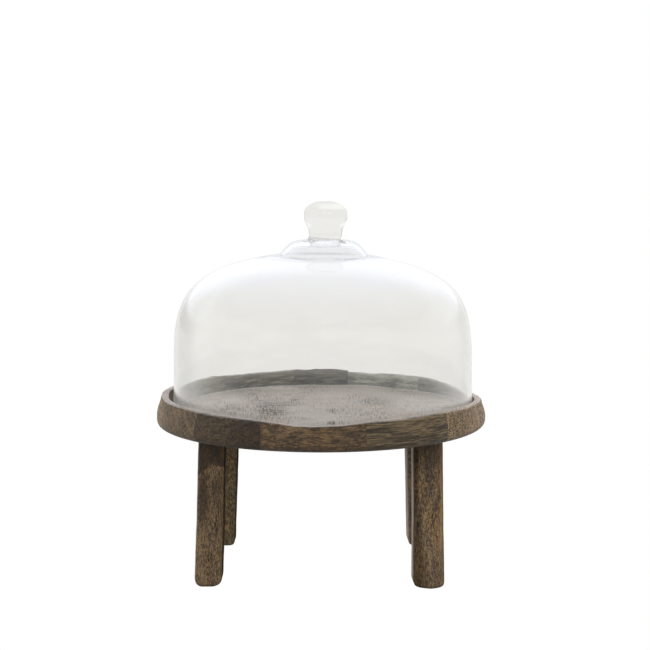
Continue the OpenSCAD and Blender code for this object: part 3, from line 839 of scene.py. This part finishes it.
            # light from behind fades down the inside of the rim
            lit = t.math("MULTIPLY", t.step(148.5, 158.5, Z), t.math("SUBTRACT", 1.0, flat))
            col = t.mix(t.math("MULTIPLY", lit, 0.62), col, scaled(light, 1.45))
            # outside and underneath it is the same brown as the rest
            around = t.math("ADD", t.math("MULTIPLY", nrm.outputs[0], X), t.math("MULTIPLY", nrm.outputs[1], Y))
            brown = t.math("MAXIMUM", t.step(10.0, 70.0, around), t.step(-0.4, -0.8, nrm.outputs[2]))
            col = t.mix(brown, col, t.ramp(tone, [(0.24, scaled(D0, 0.95)), (0.50, scaled(M0, 0.95)), (0.78, scaled(L0, 0.95))]))
            # the turned floor has one colour; the inside of the rim is weathered grey, and painted shade darkens it
            # where it meets the floor
            col = t.mix(t.math("MULTIPLY", flat, t.step(FLOOR + 5.0, FLOOR + 2.5, Z)), col, flat_col)
            foot = t.math("MULTIPLY", t.step(FLOOR + 3.6, FLOOR + 1.2, Z), t.math("SUBTRACT", 1.0, flat))
            col = t.mix(t.math("MULTIPLY", foot, 0.55), col, scaled(dark, 0.5))
        height = t.math("SUBTRACT", height, t.math("MULTIPLY", lines, 0.35))
        height = t.math("SUBTRACT", height, t.math("MULTIPLY", streak, 0.5))
        # glue lines: barely there on the face, a little darker on top
        for jx in joints:
            line = t.step(0.55, 0.10, t.math("ABSOLUTE", t.math("SUBTRACT", X, float(jx))))
            col = t.mix(t.math("MULTIPLY", line, 0.35), col, scaled(dark, 0.4))
        for ry in ROW_Y[1:-1]:
            line = t.step(0.45, 0.10, t.math("ABSOLUTE", t.math("SUBTRACT", Y, float(ry))))
            col = t.mix(t.math("MULTIPLY", line, 0.4), col, scaled(dark, 0.4))
        # painted shade along the bottom edge, where little light comes from below
        low = t.step(UNDER + 6.0, UNDER + 0.5, Z)
        col = t.mix(t.math("MULTIPLY", low, 0.5), col, scaled(dark, 0.6))
    else:
        # faces turned to the left get painted light and more specular and sheen, as the light falls from the left
        left = t.step(0.55, 0.95, t.math("MULTIPLY", nrm.outputs[0], -1.0))
        right = t.step(0.80, 0.96, nrm.outputs[0])
        if front_y is not None:
            left = t.math("MULTIPLY", left, t.step(front_y + 4.0, front_y + 10.0, Y))
        col = t.mix(t.math("MULTIPLY", left, 0.5), col, scaled(light, 1.1))
        spec = t.math("ADD", 0.30, t.math("MULTIPLY", left, 0.7))
        spec = t.math("MULTIPLY", spec, t.math("SUBTRACT", 1.0, right))
        shn = t.math("MULTIPLY", left, 0.7)
        lo_x = 0.46 if front_y is not None else 0.22
        edge_r = t.math("MULTIPLY", t.step(lo_x, lo_x + 0.2, nrm.outputs[0]), t.step(0.92, 0.74, nrm.outputs[0]))
        edge_r = t.math("MULTIPLY", edge_r, t.math("MULTIPLY", t.step(0.30, 0.55, t.math("MULTIPLY", nrm.outputs[1], -1.0)), t.step(0.35, 0.60, streak, 0.2, 1.0)))
        if front_y is not None:
            edge_r = t.math("MULTIPLY", edge_r, t.step(30.0, 56.0, Z, 0.25, 1.0))
        # painted highlight: a light golden line down the front-right chamfer
        col = t.mix(t.math("MULTIPLY", edge_r, chamfer_highlight), col, scaled(gold, 1.25))
        if front_y is not None:
            edge_l = t.step(0.14, 0.45, t.math("MULTIPLY", nrm.outputs[0], -1.0))
            near = t.math("MULTIPLY", edge_l, t.math("SUBTRACT", 1.0, left))
            col = t.mix(t.math("MULTIPLY", near, 0.50), col, scaled(dark, 0.9))
            spec = t.math("MULTIPLY", spec, t.math("SUBTRACT", 1.0, t.math("MULTIPLY", near, 0.9)))
        rgh = t.math("ADD", rgh, 0.08)
        # painted shade on the faces turned to the right, away from the light
        col = t.mix(t.math("MULTIPLY", right, 0.5), col, scaled(dark, 0.7))
        if top_dark == "patch":  # a smoky streak down the left of the face
            smoke = t.math("MULTIPLY", blob(t, X, Z, -104.5, 76.0, 8.0, 36.0), t.step(0.28, 0.50, streak))
            smoke = t.math("MAXIMUM", smoke, t.math("MULTIPLY", blob(t, X, Z, -93.0, 88.0, 8.0, 12.0), 0.6))
            col = t.mix(t.math("MULTIPLY", smoke, 0.72), col, scaled(dark, 0.85))
        # painted shade where the foot meets the floor
        low = t.step(4.0, 0.5, Z)
        col = t.mix(t.math("MULTIPLY", low, 0.45), col, scaled(dark, 0.5))
        # painted shade under the tray: the top of each leg is darker, on the left front leg as a patch with a curved
        # lower edge
        if top_dark:
            edge = t.math("ADD", Z, t.math("MULTIPLY", t.noise(t.vmath("MULTIPLY", P, (0.02, 0.09, 0.09)), 1.0, 2.0), 9.0))
            if top_dark == "patch":
                dxx = t.math("DIVIDE", t.math("SUBTRACT", X, -92.0), 16.0)
                bow = t.math("MULTIPLY", t.math("MULTIPLY", dxx, dxx), -6.0)
                edge = t.math("SUBTRACT", edge, bow)
                col = t.mix(t.math("MULTIPLY", t.step(109.5, 111.0, edge), 0.72), col, scaled(dark, 0.72))
            else:
                col = t.mix(t.math("MULTIPLY", t.step(98.0, 120.0, edge), 0.50), col, scaled(dark, 0.75))
    bump = t.n("ShaderNodeBump", Strength=0.55, Distance=0.0006, Height=height)
    b = t.n("ShaderNodeBsdfPrincipled", Roughness=rgh, IOR=1.47, Base_Color=col, Normal=bump.outputs[0])
    t.put(b, "Specular IOR Level", spec)
    t.put(b, "Sheen Weight", shn)
    t.put(b, "Sheen Roughness", 0.45)
    t.put(b, "Sheen Tint", (1.0, 0.92, 0.885, 1.0))
    t.n("ShaderNodeOutputMaterial", Surface=b.outputs[0])
    return m


def metal(name, base, rough, scale):
    m, t = new_mat(name)
    geo = t.n("ShaderNodeTexCoord")
    pos = t.vmath("SCALE", geo.outputs["Object"], scale=MM)
    ns = t.noise(t.vmath("MULTIPLY", pos, (0.4, 0.4, 2.4)), scale, 3.0)
    col = t.mix(t.step(0.35, 0.7, ns), scaled(base, 0.7), base)
    bump = t.n("ShaderNodeBump", Strength=0.3, Distance=0.0002, Height=ns)
    b = t.n("ShaderNodeBsdfPrincipled", Metallic=1.0, Roughness=t.step(0.2, 0.8, ns, rough - 0.08, rough + 0.12), Base_Color=col, Normal=bump.outputs[0])
    t.n("ShaderNodeOutputMaterial", Surface=b.outputs[0])
    return m


def glass(name, tint, seam=False, dome=True):
    m, t = new_mat(name)
    lp = t.n("ShaderNodeLightPath")
    tex = t.n("ShaderNodeTexCoord")
    pos = t.vmath("SCALE", tex.outputs["Object"], scale=MM)
    if seam:
        tr = t.n("ShaderNodeBsdfTransparent", Color=(1, 1, 1, 1))
        t.n("ShaderNodeOutputMaterial", Surface=tr.outputs[0])
        return m
    cord = t.noise(t.vmath("MULTIPLY", pos, (0.03, 0.03, 0.075)), 1.0, 2.0, 0.5, 0.6)
    fine = t.noise(t.vmath("MULTIPLY", pos, (0.12, 0.12, 0.02)), 1.0, 1.0)
    h = t.math("ADD", cord, t.math("MULTIPLY", fine, 0.12 if dome else 0.5))
    bump = t.n("ShaderNodeBump", Strength=0.05, Distance=0.0008, Height=h)
    col = t.mix(t.step(0.3, 0.7, cord), tint, scaled(tint, 1.008))
    index = 1.11
    if dome:
        # painted shade: the wall's tint darkens where it turns edge-on, more so on the left
        turn = t.n("ShaderNodeLayerWeight", Blend=0.5).outputs["Facing"]
        wx, wy, wz = t.n("ShaderNodeSeparateXYZ", Vector=pos).outputs
        painted_outline_shade = t.math("MULTIPLY", t.math("MULTIPLY", t.step(0.46, 0.62, turn), t.step(0.0, -60.0, wx)), 0.062)
        painted_outline_shade = t.math("ADD", painted_outline_shade, t.math("MULTIPLY", t.math("MULTIPLY", t.step(0.60, 0.70, turn), t.step(0.0, 60.0, wx)), 0.030))
        painted_outline_shade = t.math("MULTIPLY", painted_outline_shade, t.step(CROWN_Z - 25, CROWN_Z - 60, wz))
        # blown thin and clear over the crown
        index = t.step(CROWN_Z - 62, CROWN_Z - 18, wz, 1.5, CROWN_IOR)
        col = t.mix(t.step(CROWN_Z - 48, CROWN_Z - 16, wz), col, (0.972, 0.973, 0.977, 1))
        # two soft painted dark outlines on the hollow collar
        hollow = t.step(CROWN_Z + 0.3, CROWN_Z + 2.5, wz)
        ring = t.math("MULTIPLY", t.math("MULTIPLY", t.step(0.58, 0.92, turn), hollow), 0.095)
        painted_outline_shade = t.math("ADD", painted_outline_shade, t.math("ADD", ring, t.math("MULTIPLY", hollow, 0.012)))
        col = t.vmath("SCALE", col, scale=t.math("SUBTRACT", 1.0, painted_outline_shade))
    else:
        rim = t.n("ShaderNodeLayerWeight", Blend=0.5).outputs["Facing"]
        kz = t.n("ShaderNodeSeparateXYZ", Vector=pos).outputs[2]
        # painted shade: thin dark outlines down the sides of the neck
        neck = t.math("MULTIPLY", t.step(0.62, 0.92, rim), t.step(SEAT_Z + 22, SEAT_Z + 12, kz, 0.07, 0.17))
        neck = t.math("MULTIPLY", neck, t.step(SEAT_Z + 1.5, SEAT_Z + 6.0, kz))
        col = t.mix(t.step(SEAT_Z + 3.5, SEAT_Z + 0.5, kz), col, (0.965, 0.965, 0.96, 1))
        col = t.vmath("SCALE", col, scale=t.math("SUBTRACT", 1.0, neck))
    g = t.n("ShaderNodeBsdfGlass", Color=col, Roughness=0.0, IOR=index, Normal=bump.outputs[0])
    out = g.outputs[0]
    if not dome:
        # a painted crescent of light on top, and painted glints on a few seeds
        nx, ny, nz = t.n("ShaderNodeSeparateXYZ", Vector=t.n("ShaderNodeNewGeometry").outputs["Normal"]).outputs
        shine = t.math("MULTIPLY", t.step(0.50, 0.72, nz), t.step(0.97, 0.84, nz))
        shine = t.math("MULTIPLY", shine, t.math("MULTIPLY", t.step(-0.45, 0.0, nx), t.step(0.0, -0.35, ny)))
        seeds = t.step(0.16, 0.08, t.voronoi(t.vmath("MULTIPLY", pos, (0.16, 0.16, 0.16)), 1.0))
        shine = t.math("ADD", t.math("MULTIPLY", shine, 0.10), t.math("MULTIPLY", t.math("MULTIPLY", seeds, t.step(SEAT_Z + 12, SEAT_Z + 18, kz)), 0.10))
        shine = t.math("MULTIPLY", shine, t.math("SUBTRACT", 1.0, lp.outputs["Is Diffuse Ray"]))
        ad = t.n("ShaderNodeAddShader")
        t.put(ad, 0, out)
        t.put(ad, 1, t.n("ShaderNodeEmission", Color=(1.0, 1.0, 1.0, 1), Strength=shine).outputs[0])
        out = ad.outputs[0]
    if dome:
        # soft reflection of an overhead light behind the dome, on its shoulder
        rf = t.n("ShaderNodeSeparateXYZ", Vector=tex.outputs["Reflection"])
        rx, ry, rz = rf.outputs
        gx, gy, gz = t.n("ShaderNodeSeparateXYZ", Vector=pos).outputs
        lift = t.math("MULTIPLY", t.step(0.06, 0.20, rz), t.step(0.86, 0.50, rz))
        lift = t.math("MULTIPLY", lift, t.step(0.0, 0.4, ry))
        lift = t.math("MULTIPLY", lift, t.math("MULTIPLY", t.step(0.75, 0.45, t.math("ABSOLUTE", rx)), t.step(CROWN_Z - 36, CROWN_Z - 12, gz)))
        lift = t.math("MULTIPLY", lift, t.step(CROWN_Z + 8, CROWN_Z - 2, gz, 0.12, 1.0))
        fr = t.n("ShaderNodeFresnel", IOR=1.5)
        glow = t.math("MULTIPLY", t.math("MULTIPLY", lift, t.math("MINIMUM", fr.outputs[0], 0.16)), SHOULDER)
        glow = t.math("MULTIPLY", glow, t.math("SUBTRACT", 1.0, lp.outputs["Is Diffuse Ray"]))
        ad = t.n("ShaderNodeAddShader")
        t.put(ad, 0, out)
        t.put(ad, 1, t.n("ShaderNodeEmission", Color=(0.965, 0.985, 1.03, 1), Strength=glow).outputs[0])
        out = ad.outputs[0]
        # a thin painted glow low on the wall, stronger where the glass turns away
        lw = t.n("ShaderNodeLayerWeight", Blend=0.5)
        veil_glow = t.math("MULTIPLY", t.step(FLOOR + 95, FLOOR + 25, gz), t.step(0.08, 0.5, lw.outputs["Facing"]))
        veil_glow = t.math("MULTIPLY", veil_glow, t.math("ADD", 0.8, t.math("MULTIPLY", cord, 0.4)))
        mist_glow = t.math("MULTIPLY", t.step(0.34, 0.60, lw.outputs["Facing"]), t.step(FLOOR + 60, FLOOR + 12, gz))
        veil_glow = t.math("ADD", t.math("MULTIPLY", veil_glow, VEIL_GLOW), t.math("MULTIPLY", mist_glow, MIST_GLOW))
        mx = t.n("ShaderNodeMixShader", Fac=veil_glow)
        t.put(mx, 1, out)
        t.put(mx, 2, t.n("ShaderNodeEmission", Color=(1.0, 0.995, 0.975, 1), Strength=0.74).outputs[0])
        out = mx.outputs[0]
    # painted glow: light that goes round and round inside the wall is given a soft even glow instead
    trapped_glow = t.math("MULTIPLY", t.step(4.4, 6.6, lp.outputs["Ray Depth"]), t.math("SUBTRACT", 1.0, lp.outputs["Is Diffuse Ray"]))
    mx = t.n("ShaderNodeMixShader", Fac=trapped_glow)
    t.put(mx, 1, out)
    t.put(mx, 2, t.n("ShaderNodeEmission", Color=(1.0, 1.0, 0.99, 1), Strength=0.84).outputs[0])
    out = mx.outputs[0]
    tr = t.n("ShaderNodeBsdfTransparent", Color=(0.955, 0.96, 0.955, 1))
    fac = t.math("MAXIMUM", lp.outputs["Is Shadow Ray"], lp.outputs["Is Diffuse Ray"])
    mx = t.n("ShaderNodeMixShader", Fac=fac)
    t.put(mx, 1, out)
    t.put(mx, 2, tr.outputs[0])
    t.n("ShaderNodeOutputMaterial", Surface=mx.outputs[0])
    return m


# ---------------------------------------------------------------- build
D0 = srgb(60, 50, 40)
M0 = srgb(108, 90, 70)
L0 = srgb(158, 134, 104)
G0 = srgb(156, 121, 72)

TONE = {  # per stave: value of dark, mid, light; speckle; strokes
    "stave_a1": (0.42, 0.25, 1.25), "stave_a2": (0.73, 0.30, 1.0), "stave_a3": (0.84, 0.06, 1.25),
    # stave_b3's high value is partly painted light on the right end of the wall
    "stave_b1": (0.88, 0.40, 0.9), "stave_b2": (0.95, 0.2, 1.0), "stave_b3": (1.66, 0.62, 1.3),
    "stave_c1": (0.95, 0.45, 1.0), "stave_c2": (0.90, 0.2, 1.0), "stave_c3": (1.15, 0.6, 1.0),
    "stave_d1": (1.20, 0.3, 1.0), "stave_d2": (0.95, 0.2, 1.0), "stave_d3": (1.05, 0.2, 1.0), "stave_d4": (1.1, 0.5, 1.0),
    "stave_e1": (1.15, 0.1, 0.9), "stave_e2": (1.05, 0.2, 1.0), "stave_e3": (1.4, 0.1, 0.8),
    "stave_f1": (1.15, 0.1, 0.9), "stave_f2": (0.85, 0.1, 1.1), "stave_f3": (2.1, 0.1, 0.6),
}
HUE = {"stave_a3": (0.98, 1.05, 1.01), "stave_f1": (0.92, 1.02, 1.02), "stave_f2": (0.88, 1.0, 1.08), "stave_f3": (0.84, 1.0, 1.18),
       "stave_e1": (0.92, 1.02, 1.02), "stave_e3": (0.88, 1.0, 1.10), "stave_a2": (1.06, 1.0, 0.90), "stave_b1": (0.98, 1.0, 1.0),
       "stave_b3": (0.99, 1.0, 0.98)}

GREY_AND_HAZE = {  # weathered staves at the back, painted paler and greyer in part for the haze and sheen over them: dark, mid, light, gold
    "stave_f1": ((58, 57, 50), (106, 103, 93), (146, 144, 134), (122, 117, 100)),
    "stave_f2": ((38, 38, 35), (86, 85, 79), (142, 141, 134), (100, 97, 87)),
    "stave_f3": ((120, 121, 118), (168, 169, 164), (202, 203, 198), (172, 171, 160)),
    "stave_e1": ((66, 65, 50), (106, 103, 86), (142, 139, 120), (120, 114, 90)),
    "stave_e3": ((88, 88, 82), (124, 122, 114), (154, 152, 144), (132, 127, 112)),
}

staves = build_staves()
for i, (node, ob) in enumerate(staves.items()):
    k, sp, st = TONE[node]
    hue = HUE.get(node, (1, 1, 1))

    def c(col, k=k, hue=hue):
        return (col[0] * k * hue[0], col[1] * k * hue[1], col[2] * k * hue[2], 1.0)

    row = node[6]
    four = [c(D0), c(M0), c(L0), c(G0)]
    if node in GREY_AND_HAZE:
        four = [srgb(*v) for v in GREY_AND_HAZE[node]]
    mat = wood("wood_" + node, "x", 100 + 7 * i, *four, speckle=sp, joints=JOINTS[row][1:-1],
               strokes=st, scratch={"stave_a1": 0.16, "stave_b1": 0.4, "stave_c1": 0.35}.get(node, 0.0),
               end_dark={"stave_a1": (-84.0, -66.0, 0.5), "stave_f3": (36.0, 24.0, 0.7), "stave_f2": (-30.0, 0.0, 0.4)}.get(node),
               across={"stave_a3": 0.10}.get(node, 0.2 if node in GREY_AND_HAZE else 1.0), bands={"stave_f2": 5.0, "stave_f1": 4.5, "stave_a2": 1.2, "stave_a3": 1.5}.get(node, 3.5 if node in GREY_AND_HAZE else 1.0),
               pores=0.1 if node in GREY_AND_HAZE else {"stave_a3": 0.25, "stave_b3": 0.34}.get(node, 0.42),
               golden=0.2 if node in GREY_AND_HAZE else {"stave_a3": 0.22}.get(node, 0.5),
               sway={"stave_a3": 5.0}.get(node, 9.0 if node in GREY_AND_HAZE else 12.0), grain={"stave_a3": (0.045, 1.05, 1.05)}.get(node),
               flat_col=scaled(M0, 0.95) if node in GREY_AND_HAZE else None)
    ob.data.materials.clear()
    ob.data.materials.append(mat)
    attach(ob, "stand")
    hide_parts(node)

LEG_TONE = {"leg_front_left": 0.97, "leg_front_right": 1.18, "leg_rear_left": 1.06, "leg_rear_right": 1.0}
for i, node in enumerate(LEGS):
    ob = build_leg(node, 1.7 + 2.3 * i)
    k = LEG_TONE[node]
    top = {"leg_front_left": "patch", "leg_front_right": "fade"}.get(node, "fade")
    hue = {"leg_rear_left": (0.94, 1.02, 0.98)}.get(node, (1, 1, 1))

    def c(col, k=1.0, hue=hue):
        return (col[0] * k * hue[0], col[1] * k * hue[1], col[2] * k * hue[2], 1.0)

    mat = wood("wood_" + node, "z", 300 + 13 * i, c(D0, 0.85 * k), c(M0, k), c(L0, k), c(G0, 1.15 * k), speckle=0.4, top_dark=top, is_tray=False,
               pores=0.62, golden=0.7, front_y=float(BOX[node][0][1]) if node == "leg_front_right" else None,
               chamfer_highlight={"leg_front_left": 0.40, "leg_front_right": 0.75}.get(node, 0.0))
    ob.data.materials.append(mat)
    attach(ob, "stand")
    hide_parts(node)

dome, knob = build_glass()
TINT = (0.962, 0.960, 0.949, 1)
SHOULDER = 0.40
VEIL_GLOW = 0.10
MIST_GLOW = 0.07
CROWN_IOR = 1.20
g_mat = glass("clear_blown_glass", TINT)
k_mat = glass("clear_gathered_glass", (0.917, 0.914, 0.898, 1), dome=False)
s_mat = glass("glass_fused_seam", TINT, seam=True)
for ob, node in ((dome, "glass_dome"), (knob, "glass_knob")):
    ob.data.materials.append(g_mat if node == "glass_dome" else k_mat)
    ob.data.materials.append(s_mat)
    z = SEAT_Z / MM
    for p in ob.data.polygons:
        co = [ob.data.vertices[v].co for v in p.vertices]
        if all(abs(v.z - z) < 1e-6 for v in co):
            p.material_index = 1
            p.use_smooth = False
    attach(ob, "cloche")
    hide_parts(node)

for node, mat in (("threaded_inserts", metal("turned_brass", srgb(205, 168, 92), 0.32, 1.4)),
                  ("hanger_bolts", metal("zinc_plated_steel", srgb(178, 178, 174), 0.38, 1.1))):
    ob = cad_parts[node]
    for s in ob.material_slots:
        s.material = mat
    if not ob.material_slots:
        ob.data.materials.append(mat)


# ---------------------------------------------------------------- floor, light and camera
def plane(name, x0, x1, y0, y1, z):
    me = bpy.data.meshes.new(name)
    me.from_pydata([(x0, y0, z), (x1, y0, z), (x1, y1, z), (x0, y1, z)], [], [(0, 1, 2, 3)])
    ob = bpy.data.objects.new(name, me)
    bpy.context.scene.collection.objects.link(ob)
    return ob


FLANK = 0.0
WING_L, WING_R, BAND = 0.22, 0.10, 1.2
floor = plane("studio_floor", -14, 14, -6, 30, -0.0006)
m, t = new_mat("pale_floor")
lp = t.n("ShaderNodeLightPath")
pos = t.n("ShaderNodeNewGeometry").outputs["Position"]
py = t.n("ShaderNodeSeparateXYZ", Vector=pos).outputs[1]
glow = t.step(-0.3, 0.5, py, 0.72, 0.97)
px = t.math("ABSOLUTE", t.n("ShaderNodeSeparateXYZ", Vector=pos).outputs[0])
flank = t.math("MULTIPLY", t.math("MULTIPLY", t.step(0.35, 0.8, px), t.step(1.6, 0.6, py)), t.step(-1.2, -0.5, py))
glow = t.math("ADD", glow, t.math("MULTIPLY", flank, FLANK))
glow = t.math("ADD", t.math("MULTIPLY", glow, t.math("SUBTRACT", 1.0, lp.outputs["Is Camera Ray"])), lp.outputs["Is Camera Ray"])
glow = t.math("MULTIPLY", glow, t.math("SUBTRACT", 1.0, t.math("MULTIPLY", lp.outputs["Is Diffuse Ray"], 0.8)))
em = t.n("ShaderNodeEmission", Color=(1, 1, 1, 1), Strength=glow)
t.n("ShaderNodeOutputMaterial", Surface=em.outputs[0])
floor.data.materials.append(m)

w = bpy.data.worlds.new("studio")
bpy.context.scene.world = w
w.use_nodes = True
t = Tree(w.node_tree)
d = t.n("ShaderNodeSeparateXYZ", Vector=t.n("ShaderNodeTexCoord").outputs["Generated"])
dx, dy, dz = d.outputs
lp = t.n("ShaderNodeLightPath")
# what the glass and the wood reflect: a pale backdrop with a brighter band above the horizon, darker wings, soft top light
back = t.step(-0.25, 0.45, dy)
side = t.step(0.35, 0.95, t.math("ABSOLUTE", dx))
val = t.math("ADD", 0.76, t.math("MULTIPLY", back, 0.24))
val = t.math("MAXIMUM", val, t.math("MULTIPLY", side, 0.8))
wing_l = t.math("MULTIPLY", t.math("MULTIPLY", t.step(-0.28, -0.48, dx), t.step(-0.95, -0.7, dx)), back)
wing_r = t.math("MULTIPLY", t.math("MULTIPLY", t.step(0.30, 0.50, dx), t.step(0.95, 0.7, dx)), back)
val = t.math("SUBTRACT", val, t.math("MULTIPLY", wing_l, WING_L))
val = t.math("SUBTRACT", val, t.math("MULTIPLY", wing_r, WING_R))
band = t.math("MULTIPLY", t.math("MULTIPLY", t.step(0.09, 0.20, dz), t.step(0.80, 0.55, dz)), t.step(0.1, 0.55, dy))
val = t.math("ADD", val, t.math("MULTIPLY", band, t.math("SUBTRACT", BAND, val)))
top = t.step(0.45, 0.85, dz)
val = t.math("ADD", val, t.math("MULTIPLY", top, t.math("SUBTRACT", 1.2, val)))
val = t.math("MULTIPLY", val, t.math("SUBTRACT", 1.0, t.math("MULTIPLY", lp.outputs["Is Diffuse Ray"], 0.45)))
val = t.math("ADD", t.math("MULTIPLY", val, t.math("SUBTRACT", 1.0, lp.outputs["Is Camera Ray"])), lp.outputs["Is Camera Ray"])
colr = t.mix(t.math("MAXIMUM", top, band), (1.0, 1.0, 1.0, 1), (0.965, 0.985, 1.04, 1))
bg = t.n("ShaderNodeBackground", Color=colr, Strength=val)
t.n("ShaderNodeOutputWorld", Surface=bg.outputs[0])


def area(name, loc, look, size, power, color=(1, 1, 1), sy=None):
    li = bpy.data.lights.new(name, "AREA")
    li.shape = "RECTANGLE"
    li.size, li.size_y = size, sy or size
    li.energy, li.color = power, color
    ob = bpy.data.objects.new(name, li)
    bpy.context.scene.collection.objects.link(ob)
    ob.location = loc
    ob.rotation_euler = (Vector(look) - Vector(loc)).to_track_quat("-Z", "Y").to_euler()
    return ob


key = area("front_softbox", (-0.9, -2.6, 1.5), (0, 0, 0.12), 2.2, 22, (1.0, 0.985, 0.96))
key.visible_glossy = key.visible_transmission = False
fill = area("front_fill", (1.2, -2.6, 0.9), (0, 0, 0.1), 2.0, 8, (1.0, 0.99, 0.97))
fill.visible_glossy = fill.visible_transmission = False

cam = bpy.data.cameras.new("camera")
cam.sensor_fit, cam.sensor_width = "HORIZONTAL", 36.0
cam.lens = 82.76
cam.shift_x = (325 - 322.09) / 650
cam.shift_y = -(325 - 155.14) / 650
cam.clip_start, cam.clip_end = 0.05, 60
co = bpy.data.objects.new("camera", cam)
bpy.context.scene.collection.objects.link(co)
co.location = (0, -1.4, 0.37945)
co.rotation_euler = (math.pi / 2, 0, 0)
bpy.context.scene.camera = co

bpy.context.scene.view_settings.view_transform = "Standard"
bpy.context.scene.view_settings.look = "None"
